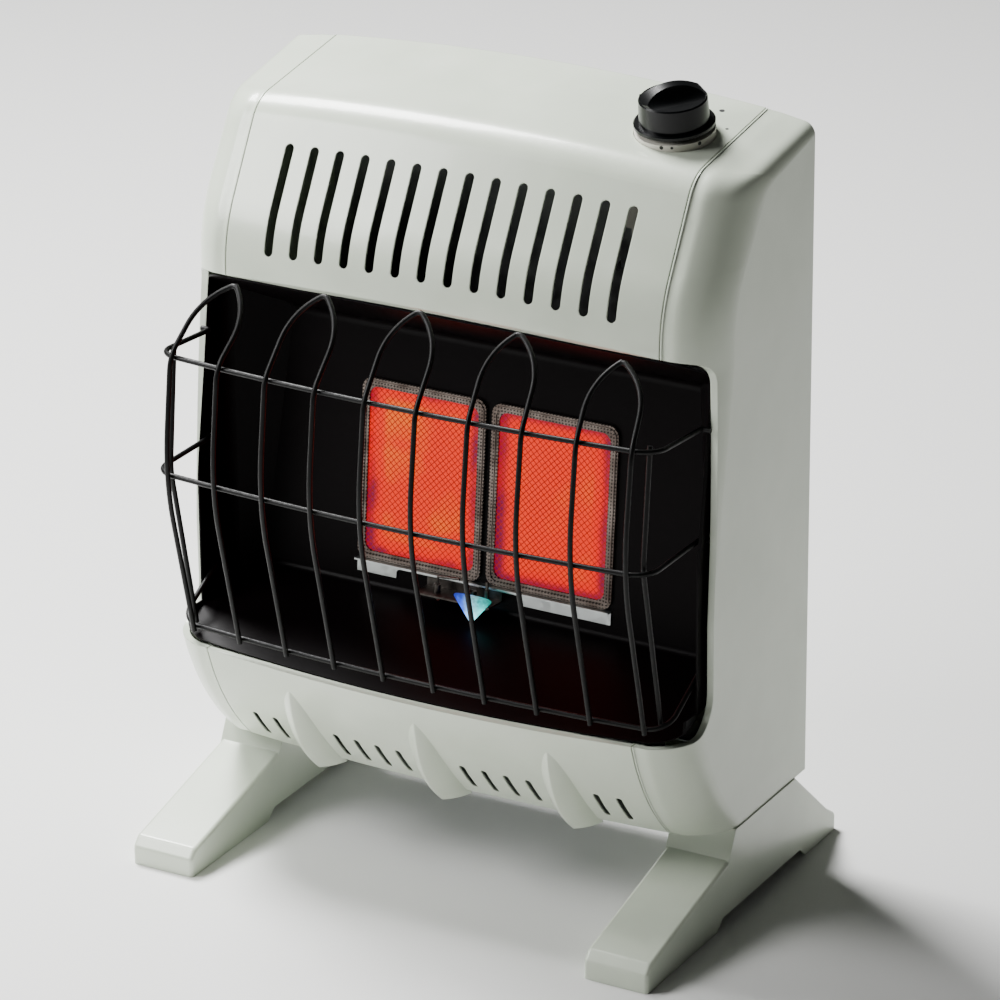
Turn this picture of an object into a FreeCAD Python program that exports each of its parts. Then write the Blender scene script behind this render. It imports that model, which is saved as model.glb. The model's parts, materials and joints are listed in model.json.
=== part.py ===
# Vent-free infrared room heater on two floor feet, as an assembly of separate pieces.
# Millimetres. +X is the user's right, the front faces -Y, +Z is up, the floor is Z = 0
# and lengths are written with the rear plane of the casing at Y = 0.
import FreeCAD, Part
import math
import os

V = FreeCAD.Vector
os.makedirs("parts", exist_ok=True)

# Overall size and sheet metal
half_width = 212.0
corner_radius = 38.0
seam_half = half_width - corner_radius
sheet = 1.2
seam_gap = 0.8
seam_flange = 9.0
seam_step = 0.9
running_gap = 0.3
casing_bottom = 70.0
top_rear_height = 571.0
top_slope = 0.1456
crown = 8.0
top_edge_radius = 8.0
top_edge_fall = 6.0

# Side view of the casing at the seam, as y, z and corner radius, and how far each
# corner moves forward and up at the middle of the width
bend_y = -109.6
bend_radius = 30.0
brow = (-158.3, 469.6)
brow_radius = 100.0
neck = (-158.3, 425.0)
chin = (-200.0, 168.0)
jaw = (-180.2, 109.0)
jaw_share = 0.93
toe_y = -140.1
toe_radius = 4.0
bend_bow = (-4.0, crown)
brow_bow = (-7.0, 2.0)
neck_bow = (-8.0, 0.0)
chin_bow = (-10.0, 0.0)
toe_bow = (-8.0, 0.0)

# Opening in the front, side view
upper_lip = (-158.0, 437.0)
upper_lip_rise = 0.875
upper_side = (-137.0, 432.0)
upper_side_radius = 16.0
middle_side = (-148.0, 240.0)
lower_side = (-147.0, 163.0)
lower_side_radius = 28.0
lower_lip = (-198.0, 162.0)
lower_lip_fall = 0.25
lip_depth = 5.0
lip_width = 1.6

# Warm air slots above the opening and fresh air slots below it
upper_slot_count = 14
upper_slot_pitch = 21.13
upper_slot_length = 81.0
upper_slot_width = 7.2
upper_slot_rim = 1.3
upper_slot_rim_depth = 0.5
upper_slot_height = 494.5
lower_slot_pitch = 17.65
lower_slot_length = 32.0
lower_slot_width = 4.6
lower_slot_height = 92.0
lower_group_inner = 53.1
lower_group_outer = 141.7

# Pressed ribs on the lower panel: a pointed arch swept round a centre inside the casing
rib_pitch = 106.0
rib_centre = (-91.1, 149.5)
rib_ridge_radius = 109.7
rib_half_width = 17.5
rib_depth = 26.0
rib_crease = 1.5
rib_bottom = 65.0

# Burner, leaning back, in its own frame: u across, w into the heater, v up its face
burner_foot = (-100.0, 212.0)
burner_lean = math.radians(5.46)
plaque_width = 92.0
plaque_height = 132.0
plaque_depth = 13.0
frame_width = 102.4
frame_height = 137.0
frame_gap = 4.8
frame_sheet = 2.0
frame_border = 6.0
screen_thickness = 0.6
liner_depth = 2.3
plenum_depth = 34.0
plenum_margin = 6.0

# Fire box
liner_half_width = half_width - 9.0
liner_ear = 13.0
liner_ear_heights = (212.0, 380.0)
liner_top_v = 180.0
liner_bottom_v = -20.0
hood_slope = 0.578
floor_slope = 0.29
liner_corner_y = -118.0
liner_corner_radius = 18.0
liner_front_y = -157.0

# Guard
wire_radius = 1.9
guard_pitch = 41.0
guard_bow_radius = 1900.0
leg_foot = (-207.0, 174.0)
leg_belly = (-238.5, 304.0)
leg_belly_radius = 200.0
leg_shoulder = (-227.0, 394.0)
leg_shoulder_radius = 30.0
leg_apex = (-183.5, 448.6)
hairpin_tip_pitch = 77.8
hairpin_tip_fall = 10.6
hairpin_tip_angle = math.radians(50.0)
hairpin_tip_radius = 4.5
rail_side_x = liner_half_width - 4.0
rail_corner_radius = 20.0
rail_hole_y = -143.0
rail_hole_heights = (386.0, 304.0, 203.0)
bottom_rail_height = 176.5
weld_gap = 0.2

# Knob and valve, in a frame square to the top panel
knob_x = 134.8
knob_y = -61.8
knob_skirt_radius = 28.6
knob_body_radius = 24.8
knob_skirt_height = 3.0
knob_rim_height = 20.0
knob_height = 30.3
knob_lift = 7.2
knob_push = 3.0
grip_half = 4.0
grip_base_half = 15.0
stem_radius = 4.0
stem_flat = 2.6
stem_fit = 0.05
dial_radius = 28.4
dial_top = 3.7
dial_flange = 2.5
valve_top = -44.5
valve_height = 50.0
valve_half = 21.0
collar_radius = 9.0

# Feet
foot_toe_y = -246.0
foot_heel_y = 51.0
foot_outer_x = half_width + 1.0
foot_inner_x = foot_outer_x - 51.0
foot_wall = 3.0
foot_screw_radius = 2.5
foot_screw_clearance = 0.25
foot_screw_edge = 10.0
foot_screw_y = (-96.0, -34.0)

# Screws and back panel
screw_radius = 1.9
screw_clearance = 0.25
rear_screw_edge = 11.5
rear_screw_heights = (casing_bottom + 70.0, 300.0, top_rear_height - 91.0)
back_flange_half = half_width - 20.0
shield_half = half_width - 47.0
shield_back = -15.0
shield_flange = 12.0
shield_heights = (196.0, top_rear_height - 71.0)
keyhole_x = 110.0
keyhole_z = top_rear_height - 55.0
keyhole_radius = 5.0
keyhole_neck = 5.0
keyhole_rise = 8.0

# Gas train
mixer_w = 27.0
mixer_v = 40.0
mixer_radius = 9.0
mixer_end = 148.0
injector_x = 166.0
inlet_x = knob_x
inlet_z = 121.0
inlet_hole_radius = 14.0
inlet_thread_radius = 7.94
inlet_reach = 20.0
inlet_collar_end = 2.0
outlet_w = -80.0
bracket_sheet = 1.5
stem_bottom = -62.0
stem_top = 24.0
plunger_bottom = -78.0
knob_turn = 45.0

# Pilot
pilot_u = -4.0
electrode_u = -32.0
thermocouple_u = 9.0
pilot_w = -9.0
pilot_shelf_v = -12.0
line_v = -16.0
pilot_tube_radius = 1.6
lead_radius = 1.6


def save(shape, name):
    # The origin lies on the floor, midway between the toes and the heels of the feet
    placed = shape.copy()
    placed.translate(V(0, -(foot_toe_y + foot_heel_y) / 2.0, 0))
    placed.exportStep("parts/" + name + ".step")


def point(x, pair):
    return V(x, pair[0], pair[1])


# Outline helpers: a side view polygon is a list of (y, z, radius) and its corners are
# rounded by arcs tangent to both sides

def corner_arc(before, corner, after, radius):
    to_before = (before - corner).normalize()
    to_after = (after - corner).normalize()
    half_turn = to_before.getAngle(to_after) / 2.0
    reach = radius / math.tan(half_turn)
    middle_direction = (to_before + to_after).normalize()
    centre = corner + middle_direction * (radius / math.sin(half_turn))
    start = corner + to_before * reach
    end = corner + to_after * reach
    middle = centre - middle_direction * radius
    return start, middle, end, centre


def rounded_edges(points, radii, closed):
    count = len(points)
    edges = []
    ends = []
    for index in range(count):
        is_end = (not closed) and index in (0, count - 1)
        if radii[index] > 0 and not is_end:
            before = points[index - 1]
            after = points[(index + 1) % count]
            start, middle, end, _ = corner_arc(before, points[index], after, radii[index])
            ends.append((start, end, Part.Arc(start, middle, end).toShape()))
        else:
            ends.append((points[index], points[index], None))
    last = count if closed else count - 1
    for index in range(count):
        if ends[index][2] is not None:
            edges.append(ends[index][2])
        if index < last:
            a = ends[index][1]
            b = ends[(index + 1) % count][0]
            if a.distanceToPoint(b) > 1e-6:
                edges.append(Part.makeLine(a, b))
    return edges


def rounded_wire(points, radii):
    return Part.Wire(Part.__sortEdges__(rounded_edges(points, radii, True)))


def inset_corners(corners, insets):
    # Moves each side of a counter-clockwise polygon inwards by its own inset
    count = len(corners)
    lines = []
    for index in range(count):
        y0, z0, _ = corners[index]
        y1, z1, _ = corners[(index + 1) % count]
        length = math.hypot(y1 - y0, z1 - z0)
        ny = -(z1 - z0) / length
        nz = (y1 - y0) / length
        shift = insets[index]
        lines.append((y0 + ny * shift, z0 + nz * shift, (y1 - y0) / length, (z1 - z0) / length))
    moved = []
    for index in range(count):
        ay, az, ady, adz = lines[index - 1]
        by, bz, bdy, bdz = lines[index]
        cross = ady * bdz - adz * bdy
        along = ((by - ay) * bdz - (bz - az) * bdy) / cross
        radius = corners[index][2]
        if radius > 0:
            radius = max(0.4, radius - insets[index])
        moved.append((ay + ady * along, az + adz * along, radius))
    return moved


def side_prism(corners, x0, x1):
    points = [V(x0, y, z) for y, z, _ in corners]
    wire = rounded_wire(points, [r for _, _, r in corners])
    return Part.Face(wire).extrude(V(x1 - x0, 0, 0))


def box(x0, x1, y0, y1, z0, z1):
    return Part.makeBox(x1 - x0, y1 - y0, z1 - z0, V(x0, y0, z0))


def cylinder(base, direction, radius, length):
    return Part.makeCylinder(radius, length, base, direction)


def mirrored(shape):
    return shape.mirror(V(0, 0, 0), V(1, 0, 0))


def fuse_all(shapes):
    result = shapes[0]
    if len(shapes) > 1:
        result = result.fuse(shapes[1:])
    return result.removeSplitter()


def one_solid(shape):
    solids = shape.Solids
    solids.sort(key=lambda piece: piece.Volume)
    return solids[-1]


# Casing envelope

def jaw_radius():
    # The jaw's curve takes up this share of its shorter side
    side_above = math.dist(chin, jaw)
    side_below = math.dist(jaw, (toe_y, casing_bottom))
    turn = math.atan2(jaw[0] - chin[0], chin[1] - jaw[1]) - math.atan2(toe_y - jaw[0], jaw[1] - casing_bottom)
    return jaw_share * min(side_above, side_below) / math.tan(abs(turn) / 2.0)


def casing_corners(share, recess, drop):
    # share is 1 at the middle of the width and 0 at the seams
    bend_z = top_rear_height + top_slope * bend_y
    return [
        (0.0, top_rear_height + share * crown - drop, 0.0),
        (bend_y + share * bend_bow[0] + recess, bend_z + share * bend_bow[1] - drop, bend_radius),
        (brow[0] + share * brow_bow[0] + recess, brow[1] + share * brow_bow[1], brow_radius),
        (neck[0] + share * neck_bow[0] + recess, neck[1], 0.0),
        (chin[0] + share * chin_bow[0] + recess, chin[1], 0.0),
        (jaw[0] + share * chin_bow[0] + recess, jaw[1], jaw_radius()),
        (toe_y + share * toe_bow[0] + recess, casing_bottom, toe_radius),
        (0.0, casing_bottom, 0.0),
    ]


def casing_section(x, share, recess, drop, inset, open_back):
    insets = [inset] * 6 + [inset, inset]
    if open_back:
        insets = [inset] * 6 + [-12.0, -6.0]
    corners = inset_corners(casing_corners(share, recess, drop), insets)
    points = [V(x, y, z) for y, z, _ in corners]
    return rounded_wire(points, [r for _, _, r in corners])


def bow_share(x):
    return 1.0 - (x / seam_half) ** 2


def centre_hull(inset, open_back):
    sections = []
    steps = 6
    for index in range(steps + 1):
        x = -seam_half + 2.0 * seam_half * index / steps
        sections.append(casing_section(x, bow_share(x), 0.0, 0.0, inset, open_back))
    return Part.makeLoft(sections, True, False)


def cap_values(angle):
    # recess of the front and fall of the top at this turn of the plan corner
    outer_x = seam_half + corner_radius * math.sin(angle)
    over = max(0.0, outer_x - (half_width - top_edge_radius))
    fall = top_edge_fall * math.sin(angle)
    rounding = top_edge_radius - math.sqrt(max(0.0, top_edge_radius ** 2 - over ** 2))
    return fall + rounding


def cap_hull(inset, open_back):
    sections = []
    radius = corner_radius - inset
    for degrees in (0, 14, 28, 41, 52, 62, 70, 77, 83, 87, 90):
        angle = math.radians(degrees)
        x = seam_half + radius * math.sin(angle)
        recess = radius * (1.0 - math.cos(angle))
        sections.append(casing_section(x, 0.0, recess, cap_values(angle), inset, open_back))
    return Part.makeLoft(sections, True, False)


def whole_hull(inset):
    centre = centre_hull(inset, True)
    right = cap_hull(inset, True)
    return one_solid(centre.fuse([right, mirrored(right)]))


def opening_corners():
    front = -330.0
    return [
        (upper_lip[0], upper_lip[1], 0.0),
        (front, upper_lip[1] + (upper_lip[0] - front) * upper_lip_rise, 0.0),
        (front, lower_lip[1] - (lower_lip[0] - front) * lower_lip_fall, 0.0),
        (lower_lip[0], lower_lip[1], 0.0),
        (lower_side[0], lower_side[1], lower_side_radius),
        (middle_side[0], middle_side[1], 0.0),
        (upper_side[0], upper_side[1], upper_side_radius),
    ]


def opening_tool(grow):
    corners = opening_corners()
    if grow > 0:
        corners = inset_corners(corners, [-grow] * len(corners))
    return side_prism(corners, -260.0, 260.0)


def shell_and_lip(outer, inner, deep, tool, wide_tool):
    shell = outer.cut(inner)
    lip = outer.cut(deep).common(wide_tool)
    return shell.fuse(lip).cut(tool)


def seam_ring(x_edge, x_wide, share, recess):
    outer = Part.Face(casing_section(x_edge, share, recess, 0.0, 0.05, False))
    inner = Part.Face(casing_section(x_edge, share, recess, 0.0, seam_flange, True))
    return outer.cut(inner).extrude(V(x_wide - x_edge, 0, 0))


def frame_room():
    # The seam flanges stop short of the back panel and of the base pan
    low = casing_bottom + sheet + running_gap
    return box(-240, 240, -300, -sheet - running_gap, low, 640)


def stadium(length, width, depth):
    # Slot along Z, cut along Y, centred at the origin
    half = (length - width) / 2.0
    r = width / 2.0
    edges = [
        Part.Arc(V(-r, 0, half), V(0, 0, half + r), V(r, 0, half)).toShape(),
        Part.makeLine(V(r, 0, half), V(r, 0, -half)),
        Part.Arc(V(r, 0, -half), V(0, 0, -half - r), V(-r, 0, -half)).toShape(),
        Part.makeLine(V(-r, 0, -half), V(-r, 0, half)),
    ]
    solid = Part.Face(Part.Wire(edges)).extrude(V(0, depth, 0))
    solid.translate(V(0, -depth / 2.0, 0))
    return solid


def upper_slots():
    bend_z = top_rear_height + top_slope * bend_y
    run_y = brow[0] - bend_y
    run_z = brow[1] - bend_z
    lean = math.degrees(math.atan2(run_y, run_z)) + 180.0
    tools = []
    for index in range(upper_slot_count):
        x = (index - (upper_slot_count - 1) / 2.0) * upper_slot_pitch
        z = upper_slot_height + 4.0 * bow_share(x)
        y = bend_y + (z - bend_z) * run_y / run_z - 3.5 * bow_share(x)
        slot = stadium(upper_slot_length, upper_slot_width, 26.0)
        slot.rotate(V(0, 0, 0), V(1, 0, 0), -lean)
        slot.translate(V(x, y, z))
        tools.append(slot)
    return tools


def lower_slot_columns():
    columns = []
    for side in (-1, 1):
        for step in (-0.5, 0.5):
            columns.append(side * lower_group_outer + step * lower_slot_pitch)
        for step in (-1.5, -0.5, 0.5, 1.5):
            columns.append(side * lower_group_inner + step * lower_slot_pitch)
    return columns


def lower_slots():
    tools = []
    for x in lower_slot_columns():
        slot = stadium(lower_slot_length, lower_slot_width, 22.0)
        slot.rotate(V(0, 0, 0), V(1, 0, 0), 38.0)
        slot.translate(V(x, -163.0 - 8.0 * bow_share(x), lower_slot_height))
        tools.append(slot)
    return tools


def rib(x, inset):
    # A pointed arch, ridge outwards, turned round an axis along X
    half = rib_half_width - inset
    tip = rib_ridge_radius - 1.4 * inset
    base = rib_ridge_radius - rib_depth
    depth = tip - base
    arc_radius = (half ** 2 + depth ** 2) / (2.0 * half)
    turn = math.atan2(depth, half - arc_radius) / 2.0
    middle_u = half - arc_radius + arc_radius * math.cos(turn)
    middle_w = base + arc_radius * math.sin(turn)
    arcs = [
        Part.Arc(V(half, -base, 0), V(middle_u, -middle_w, 0), V(0, -tip, 0)).toShape(),
        Part.Arc(V(0, -tip, 0), V(-middle_u, -middle_w, 0), V(-half, -base, 0)).toShape(),
        Part.makeLine(V(-half, -base, 0), V(half, -base, 0)),
    ]
    body = Part.Face(Part.Wire(arcs)).revolve(V(0, 0, 0), V(1, 0, 0), 100)
    ridge = [edge for edge in body.Edges if abs(edge.BoundBox.XLength) < 0.01 and edge.BoundBox.YMin < 1 - tip]
    body = body.makeFillet(rib_crease, ridge)
    body.rotate(V(0, 0, 0), V(1, 0, 0), -10)
    lag = chin_bow[0] * (bow_share(x) - 1.0)
    body.translate(V(x, rib_centre[0] + lag, rib_centre[1]))
    return body


def casing_centre():
    reach = seam_half - seam_gap / 2.0
    outer = centre_hull(0.0, False).common(box(-reach, reach, -300, 10, 0, 640))
    inner = centre_hull(sheet, True)
    deep = centre_hull(lip_depth, True)
    tool = opening_tool(0.0)
    shell = shell_and_lip(outer, inner, deep, tool, opening_tool(lip_width))
    share = bow_share(reach)
    rings = []
    for side in (-1, 1):
        ring = seam_ring(side * reach, side * (reach - sheet), share, 0.0)
        rings.append(ring.cut(tool).common(frame_room()))
    return shell.fuse(rings), inner


def top_front_panel(centre):
    panel = centre.common(box(-200, 200, -300, 10, 380, 700))
    panel = panel.cut(upper_slots())
    hole = knob_place(cylinder(V(0, 0, -30), V(0, 0, 1), dial_radius + 0.4, 60))
    save(one_solid(panel.cut(hole)), "top_front_panel")


def lower_front_panel(centre, inner):
    panel = centre.common(box(-200, 200, -300, -100, 60, 300))
    places = [step * rib_pitch for step in (-1, 0, 1)]
    above = box(-200, 200, -300, -60, rib_bottom, 200)
    ribs = [rib(x, 0.0).cut(inner).common(above) for x in places]
    hollows = [rib(x, sheet) for x in places]
    panel = panel.fuse(ribs).cut(hollows).cut(lower_slots())
    half = seam_half - seam_flange
    flange = box(-half, half, toe_y + 2.1, toe_y + 16.1, casing_bottom + sheet, casing_bottom + 2 * sheet)
    panel = panel.fuse(flange)
    save(one_solid(panel), "lower_front_panel")


def end_cap():
    start = seam_half + seam_gap / 2.0
    outer = cap_hull(0.0, False).common(box(start, 260, -300, 10, 0, 640))
    inner = cap_hull(sheet, True)
    deep = cap_hull(lip_depth, True)
    tool = opening_tool(0.0)
    shell = shell_and_lip(outer, inner, deep, tool, opening_tool(lip_width))
    ring = seam_ring(start + sheet, start, 0.0, 0.02).cut(tool).common(frame_room())
    low, high = casing_bottom + 14.0, top_rear_height - 36.0
    rear = box(half_width - 14, half_width - sheet / 2, -2 * sheet, -sheet, low, high)
    floor = box(half_width - 16, half_width - sheet / 2, -112, -8, casing_bottom + sheet, casing_bottom + 2 * sheet)
    return one_solid(shell.fuse([ring, rear, floor]))


def knob_place(shape):
    tilt = math.degrees(math.atan(top_slope))
    z = top_rear_height + top_slope * knob_y + crown * bow_share(knob_x)
    shape.rotate(V(0, 0, 0), V(1, 0, 0), tilt)
    shape.translate(V(knob_x, knob_y, z))
    return shape


def burner_place(shape):
    shape.rotate(V(0, 0, 0), V(1, 0, 0), -math.degrees(burner_lean))
    shape.translate(V(0, burner_foot[0], burner_foot[1]))
    return shape


def burner_point(w, v):
    y = burner_foot[0] + w * math.cos(burner_lean) + v * math.sin(burner_lean)
    z = burner_foot[1] - w * math.sin(burner_lean) + v * math.cos(burner_lean)
    return (y, z)


# Rear and floor of the casing

def rear_screw_places():
    x = half_width - rear_screw_edge
    return [(side * x, z) for side in (-1, 1) for z in rear_screw_heights]


def foot_screw_places():
    columns = (foot_inner_x + foot_screw_edge, foot_outer_x - foot_screw_edge)
    return [(side * x, y) for side in (-1, 1) for x in columns for y in foot_screw_y]


def rear_screw_holes():
    radius = screw_radius + screw_clearance
    return [cylinder(V(x, 6, z), V(0, -1, 0), radius, 14) for x, z in rear_screw_places()]


def foot_screw_holes():
    radius = foot_screw_radius + foot_screw_clearance
    return [cylinder(V(x, y, 60), V(0, 0, 1), radius, 20) for x, y in foot_screw_places()]


def back_panel(fitted_hull):
    plate = fitted_hull.common(box(-240, 240, -sheet, 0, casing_bottom + sheet, 640))
    half = back_flange_half
    flange = box(-half, half, -15, -sheet / 2, casing_bottom + sheet, casing_bottom + 2 * sheet)
    plate = plate.fuse(flange)
    cuts = rear_screw_holes()
    for side in (-1, 1):
        cuts.append(cylinder(V(side * keyhole_x, 5, keyhole_z), V(0, -1, 0), keyhole_radius, 10))
        neck_slot = stadium(2 * keyhole_rise + keyhole_neck, keyhole_neck, 10)
        neck_slot.translate(V(side * keyhole_x, 0, keyhole_z))
        cuts.append(neck_slot.common(box(-240, 240, -5, 5, keyhole_z, 600)))
    for column in (-118.0, 0.0):
        for row in range(5):
            louvre = stadium(86.0, 5.0, 10)
            louvre.rotate(V(0, 0, 0), V(0, 1, 0), 90)
            louvre.translate(V(column, 0, 98.0 + 14.0 * row))
            cuts.append(louvre)
    cuts.append(cylinder(V(inlet_x, 5, inlet_z), V(0, -1, 0), inlet_hole_radius, 10))
    save(one_solid(plate.cut(cuts)), "back_panel")


def base_pan(fitted_hull):
    plate = fitted_hull.common(box(-240, 240, -200, -sheet - running_gap, casing_bottom, casing_bottom + sheet))
    cuts = foot_screw_holes()
    for column in (-100.0, 0.0, 100.0):
        for row in range(3):
            slot = stadium(60.0, 6.0, 10)
            slot.rotate(V(0, 0, 0), V(1, 0, 0), 90)
            slot.rotate(V(0, 0, 0), V(0, 0, 1), 90)
            slot.translate(V(column, -90.0 + 20.0 * row, casing_bottom))
            cuts.append(slot)
    save(one_solid(plate.cut(cuts)), "base_pan")


def heat_shield():
    z0, z1 = shield_heights
    half = shield_half
    parts = [box(-half, half, shield_back, shield_back + sheet, z0, z1)]
    for side in (-1, 1):
        low, high = sorted((side * (half - sheet), side * half))
        parts.append(box(low, high, shield_back, -sheet, z0, z1))
        low, high = sorted((side * (half - sheet), side * (half + shield_flange)))
        parts.append(box(low, high, -2 * sheet, -sheet, z0, z1))
    save(fuse_all(parts), "heat_shield")


# Fire box, an enamelled box open to the front

def cavity_side_corners():
    top = burner_point(liner_depth, liner_top_v)
    bottom = burner_point(liner_depth, liner_bottom_v)
    front = -275.0
    return [
        (top[0], top[1], 10.0),
        (front, top[1] + (top[0] - front) * hood_slope, 0.0),
        (front, bottom[1] - (bottom[0] - front) * floor_slope, 0.0),
        (bottom[0], bottom[1], 6.0),
    ]


def cavity(grow):
    side = inset_corners(cavity_side_corners(), [-grow] * 4)
    slant_x = liner_half_width - (-70.0 - liner_corner_y)
    plan = [
        (liner_half_width, -320.0, 0.0),
        (liner_half_width, liner_corner_y, liner_corner_radius),
        (slant_x, -70.0, 0.0),
        (-slant_x, -70.0, 0.0),
        (-liner_half_width, liner_corner_y, liner_corner_radius),
        (-liner_half_width, -320.0, 0.0),
    ]
    plan = inset_corners(plan, [-grow] * 6)
    points = [V(x, y, 100) for x, y, _ in plan]
    face = Part.Face(rounded_wire(points, [r for _, _, r in plan]))
    return side_prism(side, -240, 240).common(face.extrude(V(0, 0, 500)))


def plaque_u(side):
    return side * (frame_width + frame_gap) / 2.0


def plaque_block(side, spare, w0, w1):
    u = plaque_u(side)
    v0 = (frame_height - plaque_height) / 2.0 - spare
    v1 = v0 + plaque_height + 2 * spare
    return box(u - plaque_width / 2 - spare, u + plaque_width / 2 + spare, w0, w1, v0, v1)


def firebox_liner(lip_hull):
    shell = cavity(sheet).cut(cavity(0.0)).common(lip_hull)
    for side in (-1, 1):
        low, high = sorted((side * (liner_half_width - 1.5), side * 240))
        shell = shell.cut(box(low, high, -300, liner_front_y, 178, 470))
    ears = []
    z0, z1 = liner_ear_heights
    for side in (-1, 1):
        outer = liner_half_width + sheet
        low, high = sorted((side * liner_half_width, side * outer))
        ears.append(box(low, high, liner_corner_y - 12, -2 * sheet, z0, z1))
        low, high = sorted((side * (liner_half_width - liner_ear), side * outer))
        ears.append(box(low, high, -3 * sheet, -2 * sheet, z0, z1))
    shell = shell.fuse(ears)
    cuts = [burner_place(plaque_block(side, running_gap, -2, 9)) for side in (-1, 1)]
    for height in rail_hole_heights:
        cuts.append(cylinder(V(-230, rail_hole_y, height), V(1, 0, 0), wire_radius + running_gap, 460))
    cuts.append(line_hole(pilot_u, pilot_tube_radius))
    cuts.append(line_hole(electrode_u, lead_radius))
    cuts += rear_screw_holes()
    save(one_solid(shell.cut(cuts)), "firebox_liner")


# Burner

def line_hole(u, radius):
    return burner_place(cylinder(V(u, -2, line_v), V(0, 1, 0), radius + running_gap, 12))


def rounded_plate(u0, u1, v0, v1, w0, w1, radius):
    points = [V(u1, w0, v1), V(u0, w0, v1), V(u0, w0, v0), V(u1, w0, v0)]
    face = Part.Face(rounded_wire(points, [radius] * 4))
    return face.extrude(V(0, w1 - w0, 0))


def plaque(side):
    block = plaque_block(side, 0.0, liner_depth + 0.9, liner_depth + 0.9 + plaque_depth)
    return burner_place(block)


def plaque_frame(side):
    u = plaque_u(side)
    half = frame_width / 2
    plate = rounded_plate(u - half, u + half, 0, frame_height, 0, frame_sheet, 8.0)
    b = frame_border
    window = rounded_plate(u - half + b, u + half - b, b, frame_height - b, -1, 3, 7.0)
    bead_out = rounded_plate(u - half + 1.6, u + half - 1.6, 1.6, frame_height - 1.6, -0.8, 0.2, 7.0)
    bead_in = rounded_plate(u - half + 3.8, u + half - 3.8, 3.8, frame_height - 3.8, -2, 0, 6.0)
    frame = plate.fuse(bead_out.cut(bead_in)).cut(window)
    return burner_place(frame)


def plaque_screen(side):
    block = plaque_block(side, -0.2, frame_sheet + 0.25, frame_sheet + 0.25 + screen_thickness)
    return burner_place(block)


def burner_plenum():
    w0 = liner_depth + sheet
    half = plaque_u(1) + plaque_width / 2 + 2.0
    v0 = (frame_height - plaque_height) / 2.0 - 2.0
    v1 = v0 + plaque_height + 4.0
    ledge = liner_depth + 0.9 + plaque_depth + 0.3
    body = box(-half, half, w0, w0 + plenum_depth, v0, v1)
    rim = box(-half - plenum_margin, half + plenum_margin, w0, w0 + sheet, v0 - plenum_margin, v1 + plenum_margin)
    cuts = [plaque_block(side, running_gap, w0 - 1, ledge) for side in (-1, 1)]
    cuts += [plaque_block(side, -4.0, ledge - 1, ledge + 3) for side in (-1, 1)]
    cuts.append(box(-half + sheet, half - sheet, ledge + sheet, w0 + plenum_depth - sheet, v0 + sheet, v1 - sheet))
    cuts.append(cylinder(V(half - 8, mixer_w, mixer_v), V(1, 0, 0), mixer_radius + 0.1, 16))
    save(burner_place(one_solid(body.fuse(rim).cut(cuts))), "burner_plenum")


def revolve_profile(pairs, centre, axis_is_x):
    # pairs are distance along the axis and radius, closed back to the axis by the caller
    points = [V(a, r, 0) for a, r in pairs]
    face = Part.Face(Part.makePolygon(points + [points[0]]))
    solid = face.revolve(V(0, 0, 0), V(1, 0, 0), 360)
    if not axis_is_x:
        solid.rotate(V(0, 0, 0), V(0, 1, 0), -90)
    solid.translate(centre)
    return solid


def mixing_tube():
    start = plaque_u(1) + plaque_width / 2 - 6.0
    r = mixer_radius
    pairs = [(start, r - sheet), (start, r), (mixer_end - 14, r), (mixer_end, r + 4.5)]
    pairs += [(mixer_end, r + 3.2), (mixer_end - 14, r - sheet)]
    tube = revolve_profile(pairs, V(0, 0, 0), True)
    tube.translate(V(0, mixer_w, mixer_v))
    save(burner_place(tube), "mixing_tube")


def injector_point():
    y, z = burner_point(mixer_w, mixer_v)
    return V(injector_x, y, z)


def hexagon(across, height):
    points = []
    for index in range(7):
        angle = math.radians(60 * index)
        points.append(V(across / math.sqrt(3) * math.cos(angle), across / math.sqrt(3) * math.sin(angle), 0))
    return Part.Face(Part.makePolygon(points)).extrude(V(0, 0, height))


def injector():
    nozzle = revolve_profile([(0, 0), (0, 2.4), (4, 5.0), (20, 5.0), (20, 0)], V(0, 0, 0), True)
    hexa = hexagon(14.0, 6.0)
    hexa.rotate(V(0, 0, 0), V(0, 1, 0), 90)
    hexa.translate(V(8, 0, 0))
    body = nozzle.fuse(hexa).cut(cylinder(V(-1, 0, 0), V(1, 0, 0), 0.8, 30))
    body.translate(injector_point() - V(8 + 6.0 + sheet, 0, 0))
    save(one_solid(body), "injector")


def injector_bracket():
    spot = injector_point()
    face = shield_back
    plate = box(spot.x - sheet, spot.x, spot.y - 14, face, spot.z - 16, spot.z + 16)
    foot = box(spot.x - sheet, spot.x + 14, face - sheet, face, spot.z - 16, spot.z + 16)
    hole = cylinder(V(spot.x - 5, spot.y, spot.z), V(1, 0, 0), 5.2, 12)
    save(plate.fuse(foot).cut(hole).removeSplitter(), "injector_bracket")


def burner_rail():
    half = (2 * frame_width + frame_gap) / 2.0
    w0 = liner_depth - 0.2 - sheet
    strip = box(-half, half, w0, w0 + sheet, -11.0, -0.4)
    cut = rounded_plate(-72, 32, -20, -4, w0 - 5, w0 + 5, 3.0)
    lip = box(-half, half, w0 - 5.0, w0 + sheet, -0.4 - sheet, -0.4)
    save(burner_place(strip.cut(cut).fuse(lip).removeSplitter()), "burner_rail")


# Pilot assembly under the burner

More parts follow.
